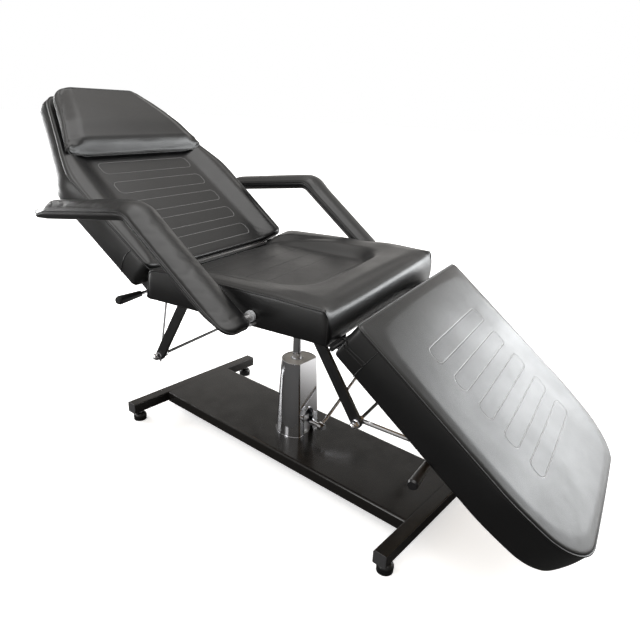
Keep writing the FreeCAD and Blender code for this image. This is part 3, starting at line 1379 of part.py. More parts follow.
leg_pad = leg_pad.cut(outline_prism(pocket_corners, leg_board_radii, -cut_margin,
                                    board_thickness + cushion_clearance))
nodes["legrest_cushion"] = legrest_piece(leg_pad)
nodes["legrest_board"] = legrest_piece(leg_board)

# Leg rest straps on the hinge rod
strap_points = [(legrest_hinge_x, legrest_hinge_z - legrest_eye_radius),
                (legrest_hinge_x + legrest_strap_reach, legrest_bottom_z - legrest_strap_depth),
                (legrest_hinge_x + legrest_strap_reach, legrest_bottom_z),
                (legrest_hinge_x, legrest_bottom_z)]
strap = joined([plate_y(strap_points, -plate_outer_y, -plate_inner_y),
                rod_y(legrest_eye_radius, legrest_hinge_x, legrest_hinge_z,
                      -plate_outer_y, -plate_inner_y)])
strap = strap.cut(rod_y(rod_hole, legrest_hinge_x, legrest_hinge_z,
                        -plate_outer_y - cut_margin, 0))
nodes["legrest_hinge_straps"] = lowered(pair(strap))

# Slotted lock ears under the leg rest, the slot taken from the path of the strut pin
flat_pin_x = legrest_hinge_x + front_pin_offset_x
flat_pin_z = legrest_hinge_z + front_pin_offset_z
dx, dz = turned_point(front_pin_offset_x, front_pin_offset_z, legrest_drop_angle)
leg_pin_x, leg_pin_z = legrest_hinge_x + dx, legrest_hinge_z + dz
strut_length = math.hypot(leg_pin_x - front_rod_x, leg_pin_z - front_rod_z)
strut_x = (leg_pin_x - front_rod_x) / strut_length
strut_z = (leg_pin_z - front_rod_z) / strut_length
path_x, path_z = [], []
for step in range(lock_path_samples + 1):
    raised = legrest_drop_angle * step / lock_path_samples
    reach = strut_length + front_slide_ratio * math.radians(raised)
    x, z = turned_point(strut_x * reach, strut_z * reach, -front_pivot_ratio * raised)
    local_x, local_z = turned_point(front_rod_x + x - legrest_hinge_x,
                                    front_rod_z + z - legrest_hinge_z,
                                    raised - legrest_drop_angle)
    path_x.append(local_x + legrest_hinge_x)
    path_z.append(local_z + legrest_hinge_z)
pin_reach = front_pin_radius + lost_motion_clearance
ear_low_z = min(path_z) - pin_reach - front_ear_margin
half_spacing = front_ear_spacing / 2
lock_ears = []
for side in (-1, 1):
    near_y = lock_plane_y + side * (half_spacing - hinge_plate_thickness / 2)
    far_y = lock_plane_y + side * (half_spacing + hinge_plate_thickness / 2)
    start_y, end_y = min(near_y, far_y), max(near_y, far_y)
    lock_ear = box(flat_pin_x - front_ear_half_length, flat_pin_x + front_ear_half_length,
                   start_y, end_y, ear_low_z, legrest_bottom_z)
    lock_ear = lock_ear.cut(box(min(path_x) - pin_reach, max(path_x) + pin_reach,
                                start_y - cut_margin, end_y + cut_margin,
                                min(path_z) - pin_reach, max(path_z) + pin_reach))
    lock_ears.append(lock_ear)
front_lever_x = legrest_hinge_x + front_release_offset_x
front_lever_z = legrest_hinge_z + front_release_offset_z
bracket_y = lock_plane_y - half_spacing - hinge_plate_thickness / 2
lock_ears[0] = joined([lock_ears[0]] + release_bracket(front_lever_x, front_lever_z, bracket_y))
nodes["legrest_lock_ears"] = lowered(Part.makeCompound(lock_ears))
nodes["front_release_lever"] = lowered(release_lever(front_lever_x, front_lever_z, bracket_y))
nodes["front_release_grip"] = lowered(release_grip(front_lever_x, front_lever_z,
                                                   front_release_grip_length))

# Sleeve on the front cross rod and the inner rod with its pin


def on_strut(distance):
    return Vec(front_rod_x + strut_x * distance, lock_plane_y, front_rod_z + strut_z * distance)


eye_half = front_sleeve_eye_thickness / 2
sleeve = joined([
    rod_y(front_sleeve_eye_radius, front_rod_x, front_rod_z, lock_plane_y - eye_half,
          lock_plane_y + eye_half),
    rod(front_sleeve_radius, on_strut(0), on_strut(front_sleeve_length))])
sleeve = sleeve.cut(rod(front_inner_rod_radius + running_clearance,
                        on_strut(front_sleeve_eye_radius), on_strut(strut_length)))
nodes["front_lock_sleeve"] = sleeve.cut(
    rod_y(cross_rod_radius + running_clearance, front_rod_x, front_rod_z,
          lock_plane_y - eye_half - cut_margin, lock_plane_y + eye_half + cut_margin))
head_half = front_head_size / 2
block_half = front_head_thickness / 2
head_block = box(-head_half, head_half, -block_half, block_half, -head_half, head_half)
head_angle = math.degrees(math.atan2(strut_x, strut_z))
head_block = moved(turned(head_block, Vec(0, 0, 0), Vec(0, 1, 0), head_angle),
                   leg_pin_x, lock_plane_y, leg_pin_z)
pin_half = half_spacing + hinge_plate_thickness / 2 - thrust_gap
nodes["front_lock_rod"] = joined([
    head_block,
    rod_y(front_pin_radius, leg_pin_x, leg_pin_z, lock_plane_y - pin_half, lock_plane_y + pin_half),
    rod(front_inner_rod_radius, on_strut(strut_length - front_inner_rod_length),
        on_strut(strut_length))])

# The base turns under the column, then everything is centred on the floor and written out
for name, shape in base_nodes.items():
    turned_shape = turned(shape, Vec(0, 0, 0), Vec(0, 0, 1), base_turn_angle)
    nodes[name] = moved(turned_shape, column_x, 0, 0)
whole = FreeCAD.BoundBox()
for name, shape in nodes.items():
    whole.add(shape.optimalBoundingBox(False, False))
shift = Vec(-(whole.XMin + whole.XMax) / 2, -(whole.YMin + whole.YMax) / 2, -whole.ZMin)
for name, shape in nodes.items():
    placed = moved(shape, shift.x, shift.y, shift.z)
    placed.exportStep("parts/" + name + ".step")
print("pieces", len(nodes))
print("shift", round(shift.x, 4), round(shift.y, 4), round(shift.z, 4))
print("size", round(whole.XLength, 2), round(whole.YLength, 2), round(whole.ZLength, 2))
print("guide shifts", round(min(side_shifts), 2), round(max(side_shifts), 2))
print("pin path x", round(min(path_x) - flat_pin_x, 2), round(max(path_x) - flat_pin_x, 2))
print("pin path z", round(min(path_z) - flat_pin_z, 2), round(max(path_z) - flat_pin_z, 2))
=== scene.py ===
# %% [markdown]
# # Tattoo chair
# The chair stands on a folded steel deck with a hydraulic pump in the middle. The seat, the tilted
# backrest and the lowered leg rest are padded and covered in black vinyl. The steel parts come
# from the frame, and every soft part is modelled here over it.

# %% Frame
import json
import math
import bmesh
import bpy
from mathutils import Matrix, Vector


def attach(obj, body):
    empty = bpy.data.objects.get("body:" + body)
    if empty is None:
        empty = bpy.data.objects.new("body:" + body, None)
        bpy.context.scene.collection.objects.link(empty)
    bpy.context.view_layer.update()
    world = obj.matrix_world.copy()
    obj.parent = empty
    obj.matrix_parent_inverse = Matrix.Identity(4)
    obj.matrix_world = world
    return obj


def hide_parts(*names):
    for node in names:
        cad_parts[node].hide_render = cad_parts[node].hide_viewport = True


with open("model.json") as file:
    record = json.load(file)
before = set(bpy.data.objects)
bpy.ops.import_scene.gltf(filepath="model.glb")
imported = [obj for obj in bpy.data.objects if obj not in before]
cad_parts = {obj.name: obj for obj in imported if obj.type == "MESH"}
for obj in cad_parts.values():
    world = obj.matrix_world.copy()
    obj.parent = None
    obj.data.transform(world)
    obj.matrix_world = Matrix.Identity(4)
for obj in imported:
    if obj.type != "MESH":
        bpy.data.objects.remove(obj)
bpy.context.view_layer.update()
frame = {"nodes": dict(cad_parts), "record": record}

# %% [markdown]
# The photograph was solved for its camera. It stands about 1.2 m in front of the chair, a little
# above it, and leans slightly to one side.

# %% Camera
camera_place = Vector((0.7400, -1.2254, 0.9410))
turn, lift, roll = math.radians(29.343), math.radians(20.634), math.radians(2.706)
backward = Vector((math.sin(turn) * math.cos(lift), -math.cos(turn) * math.cos(lift),
                   math.sin(lift)))
level_right = Vector((math.cos(turn), math.sin(turn), 0))
level_up = backward.cross(level_right)
right = level_right * math.cos(roll) + level_up * math.sin(roll)
up = level_up * math.cos(roll) - level_right * math.sin(roll)
camera_data = bpy.data.cameras.new("camera")
camera_data.lens = 31.90
camera_data.sensor_width = 36
camera = bpy.data.objects.new("camera", camera_data)
bpy.context.scene.collection.objects.link(camera)
camera_turn = Matrix((right, up, backward)).transposed().to_4x4()
camera.matrix_world = Matrix.Translation(camera_place) @ camera_turn
bpy.context.scene.camera = camera
print("camera at", tuple(camera_place))

# %% [markdown]
# Shader nodes are wired with a few short helpers, so that each material below reads as a list of
# what it adds up.

# %% Node helpers
def feed(tree, value, socket):
    # A socket is linked, and anything else is set as a value
    if isinstance(value, bpy.types.NodeSocket):
        tree.links.new(value, socket)
    else:
        socket.default_value = value


def calc(tree, operation, *values):
    node = tree.nodes.new("ShaderNodeMath")
    node.operation = operation
    for value, socket in zip(values, node.inputs):
        feed(tree, value, socket)
    return node.outputs[0]


def ramp(tree, value, low, high, out_low=0.0, out_high=1.0):
    # A smooth change from out_low to out_high while value goes from low to high
    node = tree.nodes.new("ShaderNodeMapRange")
    node.interpolation_type = "SMOOTHSTEP"
    settings = (value, low, high, out_low, out_high)
    for setting, socket in zip(settings, node.inputs):
        feed(tree, setting, socket)
    return node.outputs[0]


def noise(tree, place, scale, detail=2.0, roughness=0.5):
    node = tree.nodes.new("ShaderNodeTexNoise")
    feed(tree, place, node.inputs["Vector"])
    feed(tree, scale, node.inputs["Scale"])
    feed(tree, detail, node.inputs["Detail"])
    feed(tree, roughness, node.inputs["Roughness"])
    return node.outputs["Fac"]


def mapped(tree, place, shift=(0, 0, 0), turned=(0, 0, 0), scale=(1, 1, 1)):
    node = tree.nodes.new("ShaderNodeMapping")
    feed(tree, place, node.inputs["Vector"])
    node.inputs["Location"].default_value = shift
    node.inputs["Rotation"].default_value = turned
    node.inputs["Scale"].default_value = scale
    return node.outputs[0]


def object_place(tree):
    return tree.nodes.new("ShaderNodeTexCoord").outputs["Object"]


def axes(tree, place):
    # The three numbers of a place, each as a socket of its own
    node = tree.nodes.new("ShaderNodeSeparateXYZ")
    feed(tree, place, node.inputs[0])
    return node.outputs


def mix_colors(tree, share, first, second):
    node = tree.nodes.new("ShaderNodeMix")
    node.data_type = "RGBA"
    node.inputs["A"].default_value = (*first, 1)
    node.inputs["B"].default_value = (*second, 1)
    feed(tree, share, node.inputs["Factor"])
    return node.outputs["Result"]


def new_group(name, inputs, outputs):
    group = bpy.data.node_groups.new(name, "ShaderNodeTree")
    for title, kind, value in inputs:
        socket = group.interface.new_socket(name=title, in_out="INPUT", socket_type=kind)
        if value is not None:
            socket.default_value = value
    for title in outputs:
        group.interface.new_socket(name=title, in_out="OUTPUT", socket_type="NodeSocketFloat")
    return group, group.nodes.new("NodeGroupInput"), group.nodes.new("NodeGroupOutput")


def use_group(tree, group, **values):
    node = tree.nodes.new("ShaderNodeGroup")
    node.node_tree = group
    for title, value in values.items():
        feed(tree, value, node.inputs[title.replace("_", " ")])
    return node


def new_material(name, color, roughness, metallic=0.0):
    material = bpy.data.materials.new(name)
    material.use_nodes = True
    shader = material.node_tree.nodes["Principled BSDF"]
    shader.inputs["Base Color"].default_value = (*color, 1)
    shader.inputs["Roughness"].default_value = roughness
    shader.inputs["Metallic"].default_value = metallic
    return material, material.node_tree, shader


def add_bump(tree, shader, height, distance):
    bump = tree.nodes.new("ShaderNodeBump")
    bump.inputs["Distance"].default_value = distance
    bump.inputs["Strength"].default_value = 1.0
    tree.links.new(height, bump.inputs["Height"])
    tree.links.new(bump.outputs["Normal"], shader.inputs["Normal"])


print("node helpers ready")

# %% [markdown]
# Vinyl has a fine pebbled grain, and it shines unevenly where it has been wiped and rubbed. The
# grain could be a picture, but noise in the object's own space has no seams and no stretching.

# %% Vinyl grain
pebbles_per_metre = 900
vinyl_grain, start, end = new_group("vinyl grain", [("Place", "NodeSocketVector", None)],
                                    ["Height", "Roughness"])
place = start.outputs["Place"]
pebble = vinyl_grain.nodes.new("ShaderNodeTexVoronoi")
feed(vinyl_grain, place, pebble.inputs["Vector"])
pebble.inputs["Scale"].default_value = pebbles_per_metre
fine = calc(vinyl_grain, "MULTIPLY", pebble.outputs["Distance"], 0.07)
slack = calc(vinyl_grain, "MULTIPLY", noise(vinyl_grain, place, 11, 2), 0.5)
feed(vinyl_grain, calc(vinyl_grain, "ADD", fine, slack), end.inputs["Height"])
rubbed = noise(vinyl_grain, place, 9, 4, 0.6)
feed(vinyl_grain, ramp(vinyl_grain, rubbed, 0.3, 0.7, 0.28, 0.36), end.inputs["Roughness"])
print("vinyl grain made")

# %% [markdown]
# Long rounded slots are sewn across the panels. One group measures how far a point is from the
# nearest slot's outline, and the material turns that into a groove with thread in it. The thread's
# light grey is a painted highlight on the stitches.

# %% Stitched slots
slot_inputs = [("Along", "NodeSocketFloat", 0.0), ("Across", "NodeSocketFloat", 0.0),
               ("First", "NodeSocketFloat", 0.0), ("Pitch", "NodeSocketFloat", 0.07),
               ("Last", "NodeSocketFloat", 4.0), ("Half length", "NodeSocketFloat", 0.02),
               ("Half width", "NodeSocketFloat", 0.17), ("Narrowing", "NodeSocketFloat", 0.0),
               ("Corner", "NodeSocketFloat", 0.016), ("Line", "NodeSocketFloat", 0.0020)]
stitched_slots, start, end = new_group("stitched slots", slot_inputs, ["Groove", "Thread sheen"])
given = start.outputs


def slot_math(operation, *values):
    return calc(stitched_slots, operation, *values)


# The nearest slot is found by rounding. Its outline is a rounded rectangle, and the distance to
# that outline is what counts
step = slot_math("DIVIDE", slot_math("SUBTRACT", given["Along"], given["First"]), given["Pitch"])
step = slot_math("MAXIMUM", slot_math("ROUND", step), 0.0)
step = slot_math("MINIMUM", step, given["Last"])
centre = slot_math("MULTIPLY_ADD", step, given["Pitch"], given["First"])
from_centre = slot_math("ABSOLUTE", slot_math("SUBTRACT", given["Along"], centre))
narrowed = slot_math("MULTIPLY", step, given["Narrowing"])
half_width = slot_math("SUBTRACT", given["Half width"], narrowed)
corner_x = slot_math("SUBTRACT", given["Half length"], given["Corner"])
corner_y = slot_math("SUBTRACT", half_width, given["Corner"])
past_x = slot_math("SUBTRACT", from_centre, corner_x)
past_y = slot_math("SUBTRACT", slot_math("ABSOLUTE", given["Across"]), corner_y)
out_x = slot_math("MAXIMUM", past_x, 0.0)
out_y = slot_math("MAXIMUM", past_y, 0.0)
outside = slot_math("ADD", slot_math("MULTIPLY", out_x, out_x), slot_math("MULTIPLY", out_y, out_y))
outside = slot_math("SQRT", outside)
inside = slot_math("MINIMUM", slot_math("MAXIMUM", past_x, past_y), 0.0)
away = slot_math("SUBTRACT", slot_math("ADD", outside, inside), given["Corner"])
away = slot_math("ABSOLUTE", away)
feed(stitched_slots, ramp(stitched_slots, away, 0.0, given["Line"], 1.0, 0.0), end.inputs["Groove"])

# The thread line, which carries a painted highlight, is broken into stitches by a sine wave
# that runs along the slot's outline
stitch_rate = 1900.0
dash = slot_math("MULTIPLY", slot_math("ADD", given["Along"], given["Across"]), stitch_rate)
dash = ramp(stitched_slots, slot_math("SINE", dash), -0.9, 0.0, 0.4, 1.0)
thread_sheen = ramp(stitched_slots, away, 0.0003, 0.0012, 1.0, 0.0)
feed(stitched_slots, slot_math("MULTIPLY", thread_sheen, dash), end.inputs["Thread sheen"])
print("stitched slots made")

# %% [markdown]
# One function makes each vinyl material. It takes where the sewn slots lie, measured in the
# panel's own flat frame, which a mapping node turns back from the tilt.

# %% Vinyl materials
vinyl_black = (0.0065, 0.0065, 0.0068)
grain_depth = 0.0014


def vinyl(name, slots=None):
    material, tree, shader = new_material(name, vinyl_black, 0.4)
    shader.inputs["IOR"].default_value = 1.5
    place = object_place(tree)
    grain = use_group(tree, vinyl_grain, Place=place)
    feed(tree, grain.outputs["Roughness"], shader.inputs["Roughness"])
    height = grain.outputs["Height"]
    if slots:
        flat = axes(tree, mapped(tree, place, slots["shift"], (0, slots["turn"], 0)))
        along = calc(tree, "MULTIPLY", flat[0], slots["way"])
        sewn = use_group(tree, stitched_slots, Along=along, Across=flat[1], **slots["sizes"])
        on_top = ramp(tree, flat[2], slots["level"] - 0.02, slots["level"])
        groove = calc(tree, "MULTIPLY", sewn.outputs["Groove"], on_top)
        groove = calc(tree, "MULTIPLY", groove, slots["depth"])
        height = calc(tree, "SUBTRACT", height, groove)
        # The stitch lines are lifted to a light grey: a painted highlight on the thread
        thread_sheen = calc(tree, "MULTIPLY", sewn.outputs["Thread sheen"], on_top)
        color = mix_colors(tree, thread_sheen, vinyl_black, (slots["thread_sheen"],) * 3)
        feed(tree, color, shader.inputs["Base Color"])
    add_bump(tree, shader, height, grain_depth)
    return material


backrest_tilt = math.radians(38.0)
legrest_drop = math.radians(38.7)
chair_shift = -0.0077929
backrest_hinge = Vector((-0.267 + chair_shift, 0, 0.530))
legrest_hinge = Vector((0.252 + chair_shift, 0, 0.480))


def flat_shift(hinge, angle, start):
    # Moves a turned panel's hinge end to zero
    back = Matrix.Rotation(-angle, 3, "Y") @ hinge
    return (-back.x + start, 0, -back.z)


plain_vinyl = vinyl("plain vinyl")
# Each panel's stitch tone below is a painted highlight on the thread, lighter on the backrest and
# leg rest than on the seat
backrest_vinyl = vinyl("backrest vinyl", {
    "shift": flat_shift(backrest_hinge, backrest_tilt, 0.0124), "turn": -backrest_tilt, "way": -1.0,
    "level": 0.0, "depth": 0.45, "thread_sheen": 0.20,
    "sizes": {"First": 0.0567, "Pitch": 0.0718, "Half_length": 0.0205, "Half_width": 0.172,
              "Narrowing": 0.001, "Corner": 0.015}})
legrest_vinyl = vinyl("leg rest vinyl", {
    "shift": flat_shift(legrest_hinge, legrest_drop, -0.0075), "turn": -legrest_drop, "way": 1.0,
    "level": 0.080, "depth": 0.35, "thread_sheen": 0.30,
    "sizes": {"First": 0.1410, "Pitch": 0.0758, "Half_length": 0.0205, "Half_width": 0.166,
              "Corner": 0.016}})
seat_vinyl = vinyl("seat vinyl", {
    "shift": (-chair_shift, 0, 0), "turn": 0, "way": 1.0,
    "level": 0.530, "depth": 0.5, "thread_sheen": 0.03,
    "sizes": {"First": -0.159, "Pitch": 0.124, "Last": 1.0, "Half_length": 0.031,
              "Half_width": 0.170, "Corner": 0.004}})
print("vinyl materials made")

# %% [markdown]
# A cushion begins as a cube cut into a grid. Each grid point is then moved to its place on the
# real cushion: round corners seen from above, sewn edges, sides that bulge a little, a lip that
# wraps round the plywood board and a hollow for the board itself.

# %% Cushion helpers
on_face = 0.9999
sewn_from = 0.965
board_gap, board_step = 0.010, 0.006
cover_pressure = 4.0
puff_frames = 20
seam_radius = 0.0011


def grid_block(counts):
    block = bmesh.new()
    bmesh.ops.create_cube(block, size=2.0)
    for axis, count in enumerate(counts):
        along = [e for e in block.edges if abs(e.verts[0].co[axis] - e.verts[1].co[axis]) > 1e-6]
        bmesh.ops.subdivide_edges(block, edges=along, cuts=count - 1, use_grid_fill=True)
    return block


def eased(value):
    # Gathers the grid lines towards the edges, where the surface bends most
    return 0.5 * value + 0.5 * math.sin(math.pi * value / 2)


def smooth(value):
    value = min(max(value, 0.0), 1.0)
    return value * value * (3 - 2 * value)


def blend_between(pairs, at, ease=smooth):
    # Change between (place, value) pairs, smooth unless another ease is given
    for (a, first), (b, second) in zip(pairs, pairs[1:]):
        if at <= b:
            return first + (second - first) * ease((at - a) / (b - a))
    return pairs[-1][1]


def quarter_drop(gap, radius):
    # How far a rounded edge has dropped at this distance in from the outline
    if gap >= radius:
        return 0.0
    return radius - math.sqrt(max(radius ** 2 - (radius - gap) ** 2, 0.0))


def open_lip(depth, half):
    # The cover wraps round the board's edge, but not between the hinges
    def lip(x, y):
        between = smooth((half - abs(y)) / 0.02) * (1 - smooth((x - 0.03) / 0.03))
        return depth * (1 - between)
    return lip


def cushion_point(shape, cell):
    # First the outline seen from above: straight sides, round corners, then the real width
    u, v, w = cell
    low, high, half = shape["low"], shape["high"], shape["half"]
    x = (low + high) / 2 + (high - low) / 2 * eased(u)
    y = half * eased(v)
    at_low = x < (low + high) / 2
    corner = shape["low_corner"] if at_low else shape["high_corner"]
    end_gap = x - low if at_low else high - x
    side_gap = half - abs(y)
    gap = max(min(end_gap, side_gap), 0.0)
    over_x, over_y = corner - end_gap, corner - side_gap
    way_x, way_y = (-1.0 if at_low else 1.0), (-1.0 if y < 0 else 1.0)
    if over_x > 0 and over_y > 0:
        reach, length = max(over_x, over_y), math.hypot(over_x, over_y)
        out_x, out_y = over_x / length, over_y / length
        x += way_x * (out_x * reach - over_x)
        y += way_y * (out_y * reach - over_y)
    elif end_gap < side_gap:
        out_x, out_y = 1.0, 0.0
    else:
        out_x, out_y = 0.0, 1.0
    y *= shape["width"](x) / half
    # Then the height: on the top face, on the under face with its hollow, or on the side between
    end_share = out_x ** 2
    end_radius = shape["low_radius"] if at_low else shape["high_radius"]
    radius = shape["side_radius"] + (end_radius - shape["side_radius"]) * end_share
    top = shape["top"](x, y, gap)
    base = -shape["lip"](x, y)
    foot = shape["foot_radius"]
    draw, bulge = shape["draw_in"], shape["bulge"](x)
    if at_low:
        draw += shape["low_draw"](y) * end_share
        bulge *= 1 - end_share
    if w > on_face:
        z = top - quarter_drop(gap, radius)
    elif w < -on_face:
        inside = smooth((gap - board_gap) / board_step)
        z = (base + quarter_drop(gap, foot)) * (1 - inside) + shape["hollow"] * inside
    else:
        z = base + foot + (top - radius - foot - base) * (w + 1) / 2
    # Last the side band: it bulges at half height and is drawn in towards the board
    if gap < 1e-7:
        side = bulge * (1 - w * w) - draw * ((1 - w) / 2) ** 2
        x += way_x * out_x * side
        y += way_y * out_y * side
    elif w < -on_face:
        side = -draw * smooth(1 - gap / 0.03)
        x += way_x * out_x * side
        y += way_y * out_y * side
    return Vector((x, y, z))


def side_point(shape, x, z, side):
    # A point on the side band at this place along the cushion and this height
    base = -shape["lip"](x, shape["half"])
    share = (z - base) / (shape["top"](x, shape["half"], 0.0) - base)
    w = min(max(2 * share - 1, -1.0), 1.0)
    bulge = shape["bulge"](x) * (1 - w * w) - shape["draw_in"] * ((1 - w) / 2) ** 2
    return Vector((x, side * (shape["width"](x) + bulge), z))


def make_piece(name, block, place, material):
    mesh = bpy.data.meshes.new(name)
    bmesh.ops.recalc_face_normals(block, faces=block.faces)
    for face in block.faces:
        face.smooth = True
    block.to_mesh(mesh)
    block.free()
    mesh.transform(place)
    mesh.materials.append(material)
    piece = bpy.data.objects.new(name, mesh)
    bpy.context.scene.collection.objects.link(piece)
    return piece


def puff_up(piece, held, cap, slack):
    # Blows the free part up like a tight cover, and lets no point move further than the cap
    scene = bpy.context.scene
    group = piece.vertex_groups.new(name="sewn")
    group.add(held, 1.0, "REPLACE")
    cloth = piece.modifiers.new("Cloth", "CLOTH")
    cloth.point_cache.frame_start = 1
    cloth.point_cache.frame_end = puff_frames
    cloth.settings.quality = 4
    cloth.settings.mass = 0.3
    cloth.settings.use_pressure = True
    cloth.settings.uniform_pressure_force = cover_pressure
    cloth.settings.vertex_group_mass = "sewn"
    cloth.settings.shrink_min = -slack
    cloth.settings.effector_weights.gravity = 0
    for number in range(1, puff_frames + 1):
        scene.frame_set(number)
    moved = piece.evaluated_get(bpy.context.evaluated_depsgraph_get()).data
    largest = 0.0
    for vert, after in zip(piece.data.vertices, moved.vertices):
        step = after.co - vert.co
        largest = max(largest, step.length)
        if step.length > cap:
            step = step * (cap / step.length)
        vert.co = vert.co + step
    piece.modifiers.remove(cloth)
    piece.vertex_groups.remove(group)
    scene.frame_set(1)
    print(piece.name, "puffed by up to", round(largest * 1000, 1), "mm")


def make_cushion(name, shape, place, material, cap, slack=0.0):
    block = grid_block(shape["counts"])
    held = []
    block.verts.ensure_lookup_table()
    for index, vert in enumerate(block.verts):
        u, v, w = vert.co
        if w < on_face or max(abs(u), abs(v)) > sewn_from:
            held.append(index)
        vert.co = cushion_point(shape, vert.co)
    piece = make_piece(name, block, place, material)
    puff_up(piece, held, cap, slack)
    return piece


def rim_points(point_at, count=220):
    # Points round the top edge, from which piping is run
    points = []
    for step in range(count * 4):
        side, part = divmod(step, count)
        t = -1 + 2 * part / count
        cell = [(t, -1), (1, t), (-t, 1), (-1, -t)][side]
        points.append(point_at(Vector((*cell, 1.0))))
    return points


def cushion_rim(shape, place):
    return rim_points(lambda cell: place @ cushion_point(shape, cell))


def panel_points(shape, place, side, count=220, edge_count=40, reach=0.98):
    # Points round a side panel: up its rear edge, along the top and down its front edge
    cells = [(-1.0, side, -reach + 2 * reach * step / edge_count) for step in range(edge_count)]
    cells += [(-1 + 2 * step / count, side, 1.0) for step in range(count + 1)]
    cells += [(1.0, side, reach - 2 * reach * step / (edge_count - 1))
              for step in range(edge_count)]
    return [place @ cushion_point(shape, Vector(cell)) for cell in cells]


def piping(name, points, radius, material, closed=True):
    curve = bpy.data.curves.new(name, "CURVE")
    curve.dimensions = "3D"
    curve.bevel_depth = radius
    curve.bevel_resolution = 3
    curve.use_fill_caps = not closed
    spline = curve.splines.new("POLY")
    spline.points.add(len(points) - 1)
    for point, co in zip(spline.points, points):
        point.co = (*co, 1)
    spline.use_cyclic_u = closed
    holder = bpy.data.objects.new(name, curve)
    bpy.context.scene.collection.objects.link(holder)
    bpy.context.view_layer.update()
    evaluated = holder.evaluated_get(bpy.context.evaluated_depsgraph_get())
    mesh = bpy.data.meshes.new_from_object(evaluated)
    bpy.data.objects.remove(holder)
    mesh.materials.clear()
    mesh.materials.append(material)
    for face in mesh.polygons:
        face.use_smooth = True
    piece = bpy.data.objects.new(name, mesh)
    bpy.context.scene.collection.objects.link(piece)
    return piece


def eased_line(points, count=24):
    # A smooth line through a few points
    line = []
    last = len(points) - 1
    for step in range(count + 1):
        at = step / count * last
        index = min(int(at), last - 1)
        t = at - index
        p = [Vector(points[min(max(index + k, 0), last)]) for k in (-1, 0, 1, 2)]
        line.append(0.5 * (2 * p[1] + (p[2] - p[0]) * t
                           + (2 * p[0] - 5 * p[1] + 4 * p[2] - p[3]) * t * t
                           + (3 * p[1] - p[0] - 3 * p[2] + p[3]) * t ** 3))
    return line


def side_seam(name, shape, place, body, points):
    # A sewn line on both side bands, given as (along, height) points in metres
    for side, end in ((-1, "right"), (1, "left")):
        line = [place @ side_point(shape, p.x, p.y, side) for p in eased_line(points)]
        seam = piping(name + "_" + end, line, seam_radius, plain_vinyl, closed=False)
        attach(seam, body)


def smooth_once(piece):
    modifier = piece.modifiers.new("Subdivision", "SUBSURF")
    modifier.levels = 1
    modifier.render_levels = 1


print("cushion helpers ready")

# %% [markdown]
# The seat has a shallow pan between two side rolls and a thick front roll, and it is open towards
# the backrest. The top wraps down over the front, and the flat sides are sewn on with piping.

# %% Seat cushion
pan_level = 0.0527


def seat_top(x, y, gap):
    # The pan's floor is flat, and its walls rise in two steps of different steepness
    pan = math.hypot(max(abs(y) - 0.130, 0.0), max(x - 0.052, 0.0))
    rise = 0.78 * smooth((pan - 0.046) / 0.050) + 0.22 * smooth((pan - 0.075) / 0.085)
    side = blend_between([(-0.26, 0.071), (-0.215, 0.079), (-0.02, 0.0825), (0.09, 0.0815),
                          (0.24, 0.077)], x)
    # The far front corner is stuffed a little fuller
    side += 0.008 * smooth((x - 0.02) / 0.10) * smooth((y + 0.20) / 0.50)
    crest = side + 0.0035 * smooth(min(gap, 0.05) / 0.05)
    return pan_level + (crest - pan_level) * rise


def seat_lip(x, y):
    # The cover reaches lowest at the front, and lower still towards the far corner
    return 0.0035 + smooth((x - 0.20) / 0.03) * (0.002 + 0.005 * smooth(y / 0.25))


seat_shape = {
    "counts": (64, 64, 12), "low": -0.257, "high": 0.246, "half": 0.300,
    "low_corner": 0.022, "high_corner": 0.012, "width": lambda x: 0.300,
    "side_radius": 0.004, "low_radius": 0.024, "high_radius": 0.030, "foot_radius": 0.006,
    "lip": seat_lip, "top": seat_top, "hollow": 0.0125,
    "bulge": lambda x: 0.003 + 0.001 * smooth((x - 0.225) / 0.015), "draw_in": 0.002,
    "low_draw": lambda y: -0.018 * smooth((abs(y) - 0.240) / 0.030)}
seat_place = Matrix.Translation((chair_shift, 0, 0.4873))
seat = make_cushion("seat_upholstery", seat_shape, seat_place, seat_vinyl, cap=0.0025)
smooth_once(seat)
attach(seat, "seat")
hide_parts("seat_cushion")
print("seat", len(seat.data.polygons))

# %% [markdown]
# The backrest is widest at the shoulders and narrows to the head. A sunk panel with sewn slots
# runs between two broad side rolls.

# %% Backrest cushion
def backrest_half(x):
    # The sides run nearly straight to the shoulders, and then taper to the head
    shoulder = 0.288 + 0.009 * x / 0.280
    taper = 0.301 - 0.445 * (x - 0.310)
    soft = 0.006
    return -soft * math.log(math.exp(-shoulder / soft) + math.exp(-taper / soft))


panel_level, roll_level = 0.063, 0.0815


def backrest_top(x, y, gap):
    floor_half = 0.204 - 0.060 * x
    edge = backrest_half(x) - abs(y)
    side = smooth((abs(y) - floor_half) / 0.070) * (1 - 0.10 * (1 - smooth(edge / 0.03)))
    head = smooth((x - 0.392) / 0.02)
    crest = roll_level + 0.004 * smooth(min(gap, 0.05) / 0.05)
    return panel_level + (crest - panel_level) * max(side, head)


